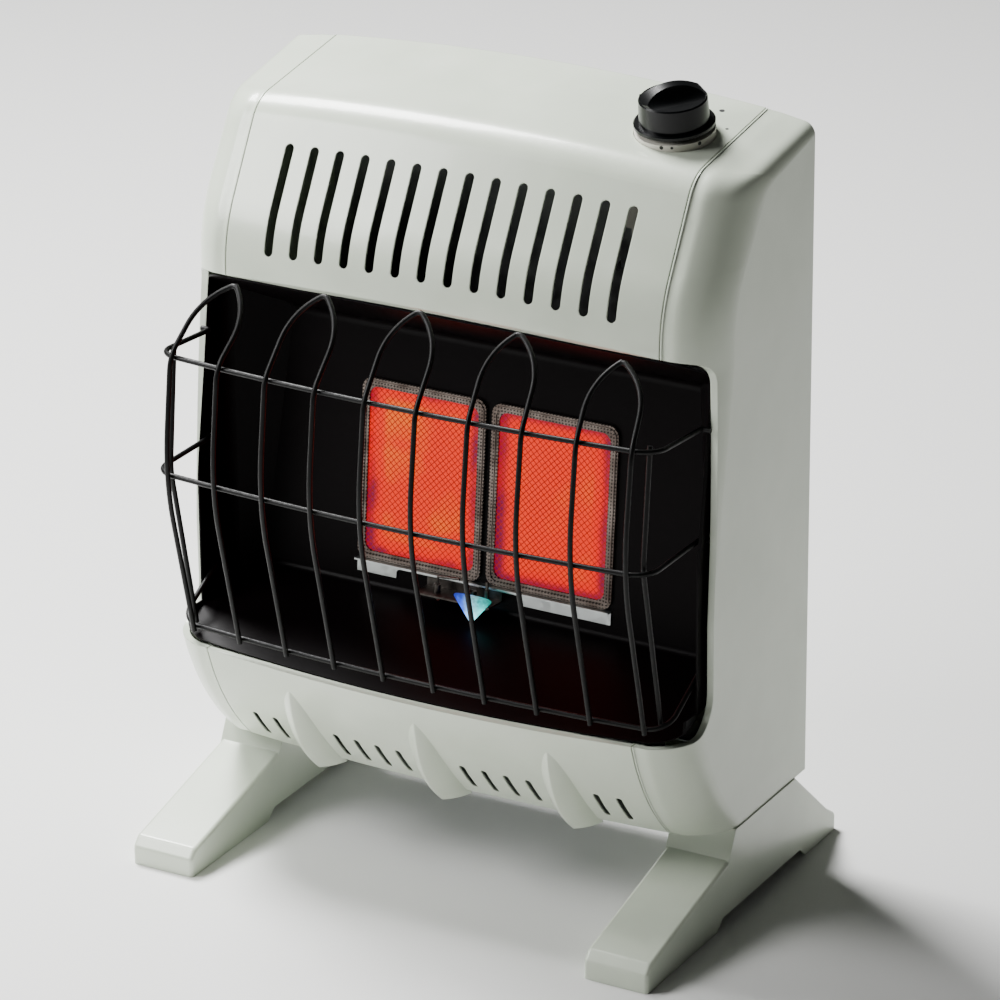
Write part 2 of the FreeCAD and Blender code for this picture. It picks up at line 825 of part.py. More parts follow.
def pilot_bracket():
    w1 = liner_depth - 0.2
    flange = box(-46, 16, w1 - sheet, w1, pilot_shelf_v, -4.4)
    shelf = box(-46, 16, -18, w1, pilot_shelf_v, pilot_shelf_v + sheet)
    cuts = [cylinder(V(u, pilot_w, pilot_shelf_v - 3), V(0, 0, 1), r + 0.2, 9)
            for u, r in ((pilot_u, 2.2), (electrode_u, 2.6), (thermocouple_u, 2.0))]
    save(burner_place(flange.fuse(shelf).cut(cuts).removeSplitter()), "pilot_bracket")


def pilot_pieces():
    top = pilot_shelf_v + sheet
    tube = cylinder(V(pilot_u, pilot_w, line_v - 0.0), V(0, 0, 1), 2.2, top - line_v + 4)
    head = cylinder(V(pilot_u, pilot_w, top + 0.1), V(0, 0, 1), 4.2, 7)
    hood = cylinder(V(pilot_u, pilot_w + 2, top + 4.5), V(0, -1, 0.25), 2.6, 8)
    burner = tube.fuse([head, hood])
    save(burner_place(burner.removeSplitter()), "pilot_burner")
    ceramic = cylinder(V(electrode_u, pilot_w, line_v + 4), V(0, 0, 1), 2.6, top - line_v + 2)
    rod = line_path([V(electrode_u, pilot_w, line_v), V(electrode_u, pilot_w, top + 12),
                     V(pilot_u - 7.5, pilot_w - 4, top + 15)], [0, 2.4, 0], 0.9)
    save(burner_place(ceramic.fuse(rod).removeSplitter()), "spark_electrode")
    sleeve = cylinder(V(thermocouple_u, pilot_w, line_v), V(0, 0, 1), 2.0, top - line_v + 10)
    tip = cylinder(V(thermocouple_u, pilot_w, top + 10), V(0, 0, 1), 1.3, 6)
    save(burner_place(sleeve.fuse(tip).removeSplitter()), "thermocouple")


def to_room(u, w, v):
    y, z = burner_point(w, v)
    return V(u, y, z)


def service_line(u, radius, column_x, column_y, last, end_gap):
    # From the foot of a pilot piece, back through the fire box and up to the valve
    points = [
        to_room(u, pilot_w + end_gap, line_v),
        to_room(u, 16.0, line_v),
        V(u, column_y, burner_point(16.0, line_v)[1] - 1.0),
        V(column_x, column_y, burner_point(16.0, line_v)[1] - 1.0),
        V(column_x, column_y, last.z - 60),
        V(column_x, last.y, last.z - 30),
        V(column_x, last.y, last.z),
        last,
    ]
    return line_path(points, [0, 5.0, 5.0, 6.0, 6.0, 6.0, 5.0, 0], radius)


# Wire and tube paths

def line_path(points, radii, radius):
    edges = rounded_edges(points, radii, False)
    wire = Part.Wire(edges)
    start = points[0]
    direction = (points[1] - points[0]).normalize()
    circle = Part.Wire(Part.makeCircle(radius, start, direction))
    return wire.makePipeShell([circle], True, True)


def guard_bow(x):
    return guard_bow_radius - math.sqrt(guard_bow_radius ** 2 - x ** 2)


def rail_seats():
    # Rail centres that touch the inside of the outermost legs at their two bends
    foot = V(0, leg_foot[0], leg_foot[1])
    belly = V(0, leg_belly[0], leg_belly[1])
    shoulder = V(0, leg_shoulder[0], leg_shoulder[1])
    apex = V(0, leg_apex[0], leg_apex[1] - hairpin_tip_fall)
    seats = []
    for corner in ((foot, belly, shoulder, leg_belly_radius), (belly, shoulder, apex, leg_shoulder_radius)):
        _, middle, _, centre = corner_arc(*corner)
        inward = (centre - middle).normalize()
        seats.append(middle + inward * (2 * wire_radius + weld_gap))
    return seats


def hairpin(x):
    # Two legs that close in a pointed arch, with a small bend at its tip
    half = guard_pitch / 2.0
    tip = math.tan(hairpin_tip_angle)
    beyond = hairpin_tip_radius * (1.0 / math.sin(hairpin_tip_angle) - 1.0)
    flank = half / math.sin(hairpin_tip_angle) - hairpin_tip_radius / tip - weld_gap
    flank_radius = flank / math.tan(hairpin_tip_angle / 2.0)
    place = x / guard_pitch / 2.0
    tip_x = place * hairpin_tip_pitch
    shoulder = V(x, leg_shoulder[0] + guard_bow(x), leg_shoulder[1])
    apex = V(tip_x, leg_apex[0] + guard_bow(x), leg_apex[1] - hairpin_tip_fall * place ** 2 / 4.0)
    along = (apex - shoulder).normalize()
    gather = apex - along * (half / tip - beyond)
    points = []
    radii = []
    for side in (-1, 1):
        leg_x = x + side * half
        lag = guard_bow(leg_x) - guard_bow(x)
        run = [
            V(leg_x, leg_foot[0] + guard_bow(leg_x), leg_foot[1]),
            V(leg_x, leg_belly[0] + guard_bow(leg_x), leg_belly[1]),
            V(leg_x, shoulder.y + lag, shoulder.z),
            V(gather.x + side * half, gather.y + lag / 2.0, gather.z),
        ]
        bends = [0, leg_belly_radius, leg_shoulder_radius, flank_radius]
        if side > 0:
            run.reverse()
            bends.reverse()
            points.append(apex + along * beyond)
            radii.append(hairpin_tip_radius)
        points += run
        radii += bends
    return line_path(points, radii, wire_radius)


def guard_uprights():
    pins = [hairpin(index * 2 * guard_pitch) for index in (-2, -1, 0, 1, 2)]
    save(Part.makeCompound(pins), "guard_uprights")


def rail_plan(front_y):
    # Where the bow's two tangents meet on the middle line and at the corner
    half_turn = math.asin((rail_side_x - rail_corner_radius) / guard_bow_radius)
    peak = front_y - guard_bow_radius * (1.0 / math.cos(half_turn) - 1.0)
    return peak, peak + rail_side_x * math.tan(half_turn)


def rail_points(front_y, front_z, hole_z):
    # Plan of a rail: hook in the side wall, side run, corner and bowed front
    peak, corner_y = rail_plan(front_y)
    hook_x = liner_half_width + sheet + 1.8
    side = [
        V(hook_x, rail_hole_y, hole_z),
        V(rail_side_x, rail_hole_y, hole_z),
        V(rail_side_x, corner_y, front_z),
    ]
    points = [V(-p.x, p.y, p.z) for p in side]
    points.append(V(0, peak, front_z))
    points += reversed(side)
    return points


def guard_rail(front_y, front_z, hole_z):
    points = rail_points(front_y, front_z, hole_z)
    bow = guard_bow_radius * 0.985
    radii = [0, 2.6, rail_corner_radius - 2.0, bow, rail_corner_radius - 2.0, 2.6, 0]
    return line_path(points, radii, wire_radius)


def corner_seat(front_y, front_z):
    # Centre of the upright that lies inside a rail's corner
    _, corner_y = rail_plan(front_y)
    bend = rail_corner_radius - 2.0
    step = bend - (bend - 2 * wire_radius - 2 * weld_gap) / math.sqrt(2.0)
    return V(rail_side_x - step, corner_y + step, front_z)


def guard_side_wires(top_rail, middle_rail, bottom_rail):
    low = corner_seat(bottom_rail.y, bottom_rail.z)
    middle = corner_seat(middle_rail.y, middle_rail.z)
    high = corner_seat(top_rail.y, top_rail.z)
    upward = (high - middle).normalize()
    points = [low - V(0, 0, wire_radius), middle, high + upward * wire_radius]
    wire = line_path(points, [0, 60.0, 0], wire_radius)
    save(Part.makeCompound([wire, mirrored(wire)]), "guard_side_wires")


def guard_rails():
    low, high = rail_seats()
    inward = 2 * wire_radius + weld_gap
    slope = (leg_belly[0] - leg_foot[0]) / (leg_belly[1] - leg_foot[1])
    foot_y = leg_foot[0] + slope * (bottom_rail_height - leg_foot[1])
    cosine = 1.0 / math.sqrt(1.0 + slope ** 2)
    save(guard_rail(high.y, high.z, rail_hole_heights[0]), "guard_top_rail")
    save(guard_rail(low.y, low.z, rail_hole_heights[1]), "guard_middle_rail")
    bottom = guard_rail(foot_y + inward / cosine, bottom_rail_height, rail_hole_heights[2])
    save(bottom, "guard_bottom_rail")
    guard_side_wires(high, low, V(0, foot_y + inward / cosine, bottom_rail_height))


# Knob and gas valve, built square to the top panel

def knob_point(u, v, w):
    spot = knob_place(Part.Vertex(u, v, w))
    return spot.Point


def control_knob():
    base = knob_lift
    rim = base + knob_rim_height
    r = knob_body_radius
    skirt = revolve_profile([(base, 0), (base, knob_skirt_radius), (base + knob_skirt_height - 1, knob_skirt_radius),
                             (base + knob_skirt_height, knob_skirt_radius - 1), (base + knob_skirt_height, r),
                             (rim - 1.0, r - 0.7), (rim, r - 1.6), (rim, 0)], V(0, 0, 0), False)
    arch = Part.Arc(V(-r + 1.6, 0, rim), V(0, 0, base + knob_height), V(r - 1.6, 0, rim)).toShape()
    chord = Part.makeLine(V(r - 1.6, 0, rim), V(-r + 1.6, 0, rim))
    fin = Part.Face(Part.Wire([arch, chord])).extrude(V(0, 2 * r, 0))
    fin.translate(V(0, -r, 0))
    top = base + knob_height + 1
    flank_r = knob_height - knob_rim_height + 1
    for side in (-1, 1):
        arc = Part.Arc(V(0, side * grip_half, top), V(0, side * (grip_half + 2.4), rim + 0.45 * (top - rim)),
                       V(0, side * grip_base_half, rim)).toShape()
        out = [V(0, side * grip_base_half, rim), V(0, side * 40, rim), V(0, side * 40, top), V(0, side * grip_half, top)]
        outline = Part.Wire([arc] + [Part.makeLine(out[i], out[i + 1]) for i in range(3)])
        scoop = Part.Face(outline).extrude(V(100, 0, 0))
        scoop.translate(V(-50, 0, 0))
        fin = fin.cut(scoop)
    fin = fin.common(cylinder(V(0, 0, rim), V(0, 0, 1), r - 1.6, knob_height))
    hub = cylinder(V(0, 0, dial_top - 3.0), V(0, 0, 1), 7.0, base - dial_top + 3.0)
    hollow = revolve_profile([(base - 1, 10), (base - 1, r - 2.5), (rim - 2.5, r - 2.5), (rim - 2.5, 10)], V(0, 0, 0), False)
    bore = stem_section(stem_radius + stem_fit, stem_flat + stem_fit, dial_top - 5, stem_top + 0.2)
    knob = skirt.fuse([fin, hub]).cut([hollow, bore]).removeSplitter()
    knob.rotate(V(0, 0, 0), V(0, 0, 1), knob_turn)
    save(knob_place(one_solid(knob)), "control_knob")


def stem_section(radius, flat, w0, w1):
    rod = cylinder(V(0, 0, w0), V(0, 0, 1), radius, w1 - w0)
    return rod.common(box(-20, 20, -20, flat, w0 - 1, w1 + 1))


def valve_stem():
    lower = cylinder(V(0, 0, stem_bottom), V(0, 0, 1), stem_radius, dial_top - 6 - stem_bottom)
    upper = stem_section(stem_radius, stem_flat, dial_top - 6, stem_top)
    stem = lower.fuse(upper).removeSplitter()
    stem.rotate(V(0, 0, 0), V(0, 0, 1), knob_turn)
    save(knob_place(stem), "valve_stem")


def valve_plunger():
    rod = cylinder(V(0, 0, plunger_bottom), V(0, 0, 1), stem_radius, stem_bottom - 0.02 - plunger_bottom)
    save(knob_place(rod), "valve_plunger")


def gas_valve():
    z0 = valve_top - valve_height
    block = box(-valve_half, valve_half, -valve_half + 2, valve_half - 2, z0, valve_top)
    edges = [e for e in block.Edges if abs(e.tangentAt(e.FirstParameter).z) > 0.9]
    block = block.makeFillet(5.0, edges)
    collar = cylinder(V(0, 0, valve_top - 1), V(0, 0, 1), collar_radius, 11)
    boss = cylinder(V(valve_half - 1, 0, outlet_w), V(1, 0, 0), 7.0, 9)
    inlet = cylinder(V(0, 0, z0 - 7), V(0, 0, 1), 8.0, 8)
    pilot_boss = cylinder(V(-valve_half + 1, 0, outlet_w), V(-1, 0, 0), 5.0, 7)
    magnet = cylinder(V(0, -valve_half + 3, z0 + 18), V(0, -1, 0), 9.0, 16)
    body = block.fuse([collar, boss, inlet, pilot_boss, magnet])
    bore = cylinder(V(0, 0, plunger_bottom - knob_push - 1), V(0, 0, 1), stem_radius + stem_fit, 120)
    save(knob_place(body.cut(bore).removeSplitter()), "gas_valve")


def valve_nut():
    nut = hexagon(24.0, 5.0)
    nut.translate(V(0, 0, valve_top + bracket_sheet))
    nut = nut.cut(cylinder(V(0, 0, valve_top - 5), V(0, 0, 1), collar_radius + 0.1, 30))
    save(knob_place(nut), "valve_nut")


def valve_bracket():
    plate = box(-34, 42, -valve_half - 3, 70, valve_top, valve_top + bracket_sheet)
    plate = plate.cut(cylinder(V(0, 0, valve_top - 5), V(0, 0, 1), collar_radius + 0.2, 20))
    plate = knob_place(plate).cut(box(0, 300, -sheet, 60, 400, 640))
    rear = knob_point(0, 57.5, valve_top)
    flange = box(knob_x - 34, knob_x + 42, -sheet - bracket_sheet, -sheet, rear.z - 26, rear.z + 1.0)
    save(plate.fuse(flange).removeSplitter(), "valve_bracket")


def dial_ring():
    tube = cylinder(V(0, 0, -7), V(0, 0, 1), dial_radius, dial_top + 7)
    recess = cylinder(V(0, 0, -10), V(0, 0, 1), dial_radius - 2.0, 10 + dial_top - 2.0)
    flange = cylinder(V(0, 0, -7), V(0, 0, 1), dial_radius + dial_flange, 1.4)
    hole = cylinder(V(0, 0, -20), V(0, 0, 1), 8.0, 40)
    save(knob_place(tube.fuse(flange).cut([recess, hole]).removeSplitter()), "dial_ring")


# Gas supply

def regulator():
    inlet = knob_point(0, 0, valve_top - valve_height - 7)
    x, y = inlet.x, inlet.y
    base = inlet_z - 13.0
    disc = cylinder(V(x, y, base), V(0, 0, 1), 23.0, 26)
    edges = [e for e in disc.Edges if len(e.Vertexes) == 1]
    disc = disc.makeFillet(3.0, edges)
    cap = cylinder(V(x, y, base + 25), V(0, 0, 1), 14.0, 10)
    outlet = cylinder(V(x, y, base + 34), V(0, 0, 1), 7.5, 8)
    rear = cylinder(V(x, y, inlet_z), V(0, 1, 0), 9.0, 26)
    body = disc.fuse([cap, outlet, rear]).removeSplitter()
    save(body, "regulator")
    return V(x, y, base + 42)


def regulator_bracket(top):
    base = inlet_z - 13.0
    floor = casing_bottom + sheet
    x, y = top.x, top.y
    seat = box(x - 20, x + 20, y - 22, y + 10, base - 1.5, base)
    legs = []
    for side in (-1, 1):
        a, b = sorted((side * 20, side * 18.5))
        legs.append(box(x + a, x + b, y - 22, y + 10, floor, base))
        a, b = sorted((side * 20, side * 26))
        legs.append(box(x + a, x + b, y - 22, y + 10, floor, floor + 1.5))
    save(fuse_all([seat] + legs), "regulator_bracket")


def inlet_fitting(top):
    start = top.y + 26.0
    collar = inlet_collar_end - start
    nipple = revolve_profile([(0, 0), (0, 9.5), (collar, 9.5), (collar, inlet_thread_radius),
                              (inlet_reach - start - 2, inlet_thread_radius), (inlet_reach - start, inlet_thread_radius - 2),
                              (inlet_reach - start, 0)], V(0, 0, 0), True)
    nipple = nipple.cut(cylinder(V(-1, 0, 0), V(1, 0, 0), 4.0, 60))
    nipple.rotate(V(0, 0, 0), V(0, 0, 1), 90)
    nipple.translate(V(top.x, start, inlet_z))
    save(nipple, "inlet_fitting")


def supply_tube(top):
    end = knob_point(0, 0, valve_top - valve_height - 7)
    tube = cylinder(top, V(0, 0, 1), 5.0, end.z - top.z - 1.2)
    save(tube, "supply_tube")


def manifold_tube():
    start = knob_point(valve_half + 8, 0, outlet_w)
    spot = injector_point() + V(20 - 14 - sheet, 0, 0)
    column = spot.x + 16
    points = [start, V(column, start.y, start.z), V(column, start.y, start.z - 30),
              V(column, spot.y, start.z - 70), V(column, spot.y, spot.z), V(spot.x, spot.y, spot.z)]
    save(line_path(points, [0, 7.0, 7.0, 7.0, 8.0, 0], 3.2), "manifold_tube")


def piezo_igniter():
    body = box(-valve_half - 14.3, -valve_half - 0.3, -16, 4, valve_top - 28, valve_top - 6)
    boss = cylinder(V(-valve_half - 8, -12, valve_top - 28.0), V(0, 0, -1), 3.6, 8)
    save(knob_place(body.fuse(boss).removeSplitter()), "piezo_igniter")


def service_lines():
    pilot_end = knob_point(-valve_half - 6.2, 0, outlet_w)
    column_x = pilot_end.x - 6.8
    save(service_line(pilot_u, pilot_tube_radius, column_x, -34.0, pilot_end, 2.5), "pilot_tube")
    lead_end = knob_point(-valve_half - 8, -12, valve_top - 36.4)
    points_end = V(lead_end.x, lead_end.y, lead_end.z)
    line = [
        to_room(electrode_u, pilot_w + 1.2, line_v),
        to_room(electrode_u, 16.0, line_v),
        V(electrode_u, -26.0, burner_point(16.0, line_v)[1] - 1.0),
        V(points_end.x, -26.0, burner_point(16.0, line_v)[1] - 1.0),
        V(points_end.x, -26.0, points_end.z - 40),
        V(points_end.x, points_end.y, points_end.z - 16),
        points_end,
    ]
    save(line_path(line, [0, 5.0, 5.0, 6.0, 6.0, 5.0, 0], lead_radius), "igniter_lead")


# Feet

def foot_corners():
    return [
        (-16.0, casing_bottom, 0.0),
        (-112.0, casing_bottom, 0.0),
        (-122.0, 49.0, 0.0),
        (foot_toe_y + 6.0, 21.0, 5.0),
        (foot_toe_y, 14.0, 4.0),
        (foot_toe_y, 0.0, 0.0),
        (-140.0, 0.0, 0.0),
        (-131.0, 8.0, 3.0),
        (-8.0, 8.0, 3.0),
        (1.0, 0.0, 0.0),
        (foot_heel_y, 0.0, 0.0),
        (foot_heel_y, 13.0, 4.0),
        (foot_heel_y - 13.0, 22.0, 5.0),
    ]


def foot():
    corners = foot_corners()
    outer = side_prism(corners, foot_inner_x, foot_outer_x)
    rounded = []
    for edge in outer.Edges:
        box_ = edge.BoundBox
        on_side = box_.XLength < 0.01
        if on_side and box_.ZMin > 13.0 and box_.ZMax < 69.9 and box_.YLength > 8.0:
            rounded.append(edge)
    outer = outer.makeFillet(3.0, rounded)
    hollow = corners[:5] + [(foot_toe_y, -6.0, 0.0), (foot_heel_y, -6.0, 0.0)] + corners[11:]
    insets = [foot_wall] * 5 + [0.0] + [foot_wall] * 3
    inner = side_prism(inset_corners(hollow, insets), foot_inner_x + foot_wall, foot_outer_x - foot_wall)
    return one_solid(outer.cut(inner).cut(foot_screw_holes()))


def foot_screws():
    screws = []
    for x, y in foot_screw_places():
        shank = cylinder(V(x, y, casing_bottom - foot_wall - 1), V(0, 0, 1), foot_screw_radius, 15)
        head = cylinder(V(x, y, casing_bottom - foot_wall - 3.2), V(0, 0, 1), 4.6, 3.2)
        screws.append(shank.fuse(head).removeSplitter())
    save(Part.makeCompound(screws), "foot_screws")


def foot_nuts():
    nuts = []
    for x, y in foot_screw_places():
        seat = casing_bottom + (2 if abs(x) > foot_inner_x + foot_screw_edge else 1) * sheet
        nut = hexagon(8.0, 4.0)
        nut.translate(V(x, y, seat))
        nuts.append(nut.cut(cylinder(V(x, y, 60), V(0, 0, 1), foot_screw_radius + 0.05, 30)))
    save(Part.makeCompound(nuts), "foot_nuts")


def casing_screws():
    screws = []
    for x, z in rear_screw_places():
        shank = cylinder(V(x, 1, z), V(0, -1, 0), screw_radius, 8)
        head = cylinder(V(x, 0, z), V(0, 1, 0), 4.0, 2.2)
        screws.append(shank.fuse(head).removeSplitter())
    save(Part.makeCompound(screws), "casing_screws")


def main():
    centre, centre_inner = casing_centre()
    top_front_panel(centre)
    lower_front_panel(centre, centre_inner)
    cap = end_cap().cut(rear_screw_holes()).cut(foot_screw_holes())
    cap = one_solid(cap)
    save(cap, "right_end_cap")
    save(mirrored(cap), "left_end_cap")
    fitted_hull = whole_hull(sheet + running_gap)
    back_panel(fitted_hull)
    base_pan(fitted_hull)
    heat_shield()
    firebox_liner(whole_hull(lip_depth + running_gap))
    for side, name in ((-1, "left"), (1, "right")):
        save(plaque(side), name + "_plaque")
        save(plaque_frame(side), name + "_plaque_frame")
        save(plaque_screen(side), name + "_plaque_screen")
    burner_plenum()
    mixing_tube()
    injector()
    injector_bracket()
    burner_rail()
    pilot_bracket()
    pilot_pieces()
    service_lines()
    guard_uprights()
    guard_rails()
    control_knob()
    valve_stem()
    valve_plunger()
    gas_valve()
    valve_nut()
    valve_bracket()
    dial_ring()
    piezo_igniter()
    top = regulator()
    regulator_bracket(top)
    inlet_fitting(top)
    supply_tube(top)
    manifold_tube()
    right_foot = foot()
    save(right_foot, "right_foot")
    save(mirrored(right_foot), "left_foot")
    foot_screws()
    foot_nuts()
    casing_screws()


main()
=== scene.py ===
# %% [markdown]
# # A radiant gas room heater
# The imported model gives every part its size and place. This notebook dresses it: it adds the pieces that are too
# fine for solids, gives each surface its finish, and sets the floor, the light and the camera.
# All lengths are in metres, with +X to the right, +Y to the back and +Z up from the floor.

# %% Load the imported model
import json
import math
import bpy
import bmesh
from mathutils import Matrix, Vector


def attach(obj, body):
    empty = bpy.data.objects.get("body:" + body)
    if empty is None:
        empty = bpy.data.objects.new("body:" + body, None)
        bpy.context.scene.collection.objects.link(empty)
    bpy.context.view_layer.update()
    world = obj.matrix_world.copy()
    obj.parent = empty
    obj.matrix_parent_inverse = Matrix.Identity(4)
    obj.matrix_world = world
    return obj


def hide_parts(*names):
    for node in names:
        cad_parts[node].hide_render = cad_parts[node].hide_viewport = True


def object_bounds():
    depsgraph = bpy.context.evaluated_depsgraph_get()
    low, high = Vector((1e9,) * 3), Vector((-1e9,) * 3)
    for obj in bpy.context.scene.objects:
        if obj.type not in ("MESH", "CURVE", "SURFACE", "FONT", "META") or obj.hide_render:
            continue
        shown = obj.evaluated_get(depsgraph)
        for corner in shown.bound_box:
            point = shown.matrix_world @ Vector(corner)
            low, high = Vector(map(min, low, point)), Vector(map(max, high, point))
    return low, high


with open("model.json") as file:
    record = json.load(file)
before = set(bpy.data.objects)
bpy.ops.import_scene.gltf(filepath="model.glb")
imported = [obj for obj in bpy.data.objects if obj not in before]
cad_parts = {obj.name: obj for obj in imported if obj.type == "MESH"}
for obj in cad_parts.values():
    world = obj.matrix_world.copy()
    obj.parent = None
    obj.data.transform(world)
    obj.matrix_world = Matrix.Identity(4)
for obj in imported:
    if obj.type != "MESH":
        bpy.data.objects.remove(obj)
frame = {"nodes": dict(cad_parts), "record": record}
nodes = frame["nodes"]
cad_low, cad_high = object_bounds()
MM = 0.001
print("parts:", len(nodes), "height in mm:", round(cad_high[2] / MM, 1))

# %% [markdown]
# ## Three small helpers
# Paint charts and photographs name colours in sRGB, while shaders work in linear light, so one function turns
# the hex value into linear numbers. Every finish is a small network, so a second function adds one node with its
# settings and its links. The third opens a finish: it sets the values that are the same all over the surface, and
# returns the coordinates that the patterns of the finish will read.

# %% Colour and node helpers
def linear(hex_colour):
    channels = [int(hex_colour[i:i + 2], 16) / 255 for i in (1, 3, 5)]
    return [c / 12.92 if c <= 0.04045 else ((c + 0.055) / 1.055) ** 2.4 for c in channels] + [1.0]


def add_node(tree, kind, settings=None, links=None):
    node = tree.nodes.new(kind)
    for name, value in (settings or {}).items():
        if isinstance(name, str) and hasattr(node, name):
            setattr(node, name, value)
        else:
            node.inputs[name].default_value = value
    for name, source in (links or {}).items():
        tree.links.new(source, node.inputs[name])
    return node


def start_finish(name, colour, roughness, metallic=0.0, **more):
    material = bpy.data.materials.new(name)
    material.use_nodes = True
    tree = material.node_tree
    shader = tree.nodes["Principled BSDF"]
    shader.inputs["Base Color"].default_value = linear(colour)
    shader.inputs["Roughness"].default_value = roughness
    shader.inputs["Metallic"].default_value = metallic
    for socket, value in more.items():
        shader.inputs[socket.replace("_", " ")].default_value = value
    place = add_node(tree, "ShaderNodeTexCoord")
    return material, tree, shader, place.outputs["Object"]


print("white in linear light:", linear("#FFFFFF")[:3])

# %% [markdown]
# ## Stoved cream enamel
# The casing and feet are pressed steel, sprayed cream and stoved. The film is glossy, and under a lamp it shows
# a fine ripple like the skin of an orange, about 1.5 mm across, and a very slight change of tone. The sheet is bent
# and rolled in at its edges and round its slots, so a Bevel node softens them over the sheet's thickness, and the
# edges that face the lamp catch a thin bright line.

# %% Cream enamel
cream, tree, shader, place = start_finish("stoved_cream_enamel_on_steel", "#D2DAC8", 0.3, Coat_Weight=0.25,
                                          Coat_Roughness=0.1)
tone = add_node(tree, "ShaderNodeTexNoise", {"Scale": 1 / (60 * MM), "Detail": 3.0}, {"Vector": place})
tint = add_node(tree, "ShaderNodeValToRGB", {}, {"Fac": tone.outputs["Fac"]})
tint.color_ramp.elements[0].position = 0.3
tint.color_ramp.elements[0].color = linear("#CBD4C2")
tint.color_ramp.elements[1].position = 0.7
tint.color_ramp.elements[1].color = linear("#D5DDCC")
tree.links.new(tint.outputs["Color"], shader.inputs["Base Color"])
peel = add_node(tree, "ShaderNodeTexNoise", {"Scale": 1 / (1.5 * MM), "Detail": 1.0}, {"Vector": place})
soft_edge = add_node(tree, "ShaderNodeBevel", {"samples": 4, "Radius": 1.1 * MM})
bump = add_node(tree, "ShaderNodeBump", {"Strength": 0.25, "Distance": 0.02 * MM},
                {"Height": peel.outputs["Fac"], "Normal": soft_edge.outputs["Normal"]})
tree.links.new(bump.outputs["Normal"], shader.inputs["Normal"])
print("finish:", cream.name)

# %% [markdown]
# ## Black vitreous enamel
# The firebox liner is sheet steel with black glass fused on. Soot and heat have dulled it, so the glowing plaques
# only leave a dim dark red haze on its floor, stretched by the ripple that the glass keeps from the kiln.

# %% Vitreous enamel
black_glass, tree, shader, place = start_finish("fused_black_vitreous_enamel", "#050203", 0.4,
                                                Specular_IOR_Level=0.06)
flow = add_node(tree, "ShaderNodeTexNoise", {"Scale": 1 / (22 * MM), "Detail": 2.0}, {"Vector": place})
skin = add_node(tree, "ShaderNodeTexNoise", {"Scale": 1 / (1.2 * MM), "Detail": 1.0}, {"Vector": place})
both = add_node(tree, "ShaderNodeMath", {"operation": "MULTIPLY_ADD", 1: 0.06},
                {0: skin.outputs["Fac"], 2: flow.outputs["Fac"]})
bump = add_node(tree, "ShaderNodeBump", {"Strength": 0.35, "Distance": 0.5 * MM}, {"Height": both.outputs["Value"]})
tree.links.new(bump.outputs["Normal"], shader.inputs["Normal"])
print("finish:", black_glass.name)

# %% [markdown]
# ## Black stoved wire
# The guard is drawn steel wire, welded and dipped in black heat-proof enamel. It keeps more shine than the sooted
# liner, and the film gathers in small lumps.

# %% Guard wire enamel
wire_black, tree, shader, place = start_finish("dipped_black_enamel_on_wire", "#030303", 0.42,
                                               Specular_IOR_Level=0.2)
lumps = add_node(tree, "ShaderNodeTexNoise", {"Scale": 1 / (2.5 * MM), "Detail": 2.0}, {"Vector": place})
bump = add_node(tree, "ShaderNodeBump", {"Strength": 0.3, "Distance": 0.08 * MM}, {"Height": lumps.outputs["Fac"]})
tree.links.new(bump.outputs["Normal"], shader.inputs["Normal"])
wear = add_node(tree, "ShaderNodeMapRange", {"From Min": 0.35, "From Max": 0.7, "To Min": 0.36, "To Max": 0.5},
                {"Value": lumps.outputs["Fac"]})
tree.links.new(wear.outputs["Result"], shader.inputs["Roughness"])
print("finish:", wire_black.name)

# %% [markdown]
# ## Moulded plastics
# The knob is glossy black phenolic, and the dial ring and the igniter body are moulded in a paler plastic. The
# mould leaves a very fine spark-eroded grain, about 0.4 mm.

# %% Plastics
knob_black, tree, shader, place = start_finish("moulded_black_phenolic", "#030405", 0.27, Specular_IOR_Level=0.28)
grain = add_node(tree, "ShaderNodeTexNoise", {"Scale": 1 / (0.4 * MM), "Detail": 1.0}, {"Vector": place})
bump = add_node(tree, "ShaderNodeBump", {"Strength": 0.2, "Distance": 0.02 * MM}, {"Height": grain.outputs["Fac"]})
tree.links.new(bump.outputs["Normal"], shader.inputs["Normal"])

dial_cream, tree, shader, place = start_finish("moulded_cream_abs", "#D9D6CA", 0.34)
grain = add_node(tree, "ShaderNodeTexNoise", {"Scale": 1 / (0.4 * MM), "Detail": 1.0}, {"Vector": place})
bump = add_node(tree, "ShaderNodeBump", {"Strength": 0.2, "Distance": 0.02 * MM}, {"Height": grain.outputs["Fac"]})
tree.links.new(bump.outputs["Normal"], shader.inputs["Normal"])
print("finishes:", knob_black.name, dial_cream.name)

# %% [markdown]
# ## Glowing ceramic
# Each plaque is a fired cordierite tile with thousands of holes of about 1.2 mm. Gas burns in the holes, so the
# face glows red-orange, yellower where it is hottest, and it turns crimson and violet towards the cooler rim. The
# distance to the nearest edge sets the colour, and soft patches of noise lift it. The left plaque burns less evenly
# than the right one. The holes are read straight from the front, so they show as rows of dots on the leaning face.

# %% Plaque ceramic
BURNER_FOOT = Vector((0, -2.5 * MM, 212 * MM))
BURNER_LEAN = math.radians(5.46)
PLAQUE_MIDDLE = {"left": -53.6 * MM, "right": 53.6 * MM}
PLAQUE_RISE = 68.5 * MM
PLAQUE_HALF_WIDTH = 46 * MM
PLAQUE_HALF_HEIGHT = 66 * MM
HOLE_PITCH = 1.9 * MM
COOL_RIM = (5 * MM, 15 * MM)
BURNER = Matrix.Translation(BURNER_FOOT) @ Matrix.Rotation(-BURNER_LEAN, 4, "X")


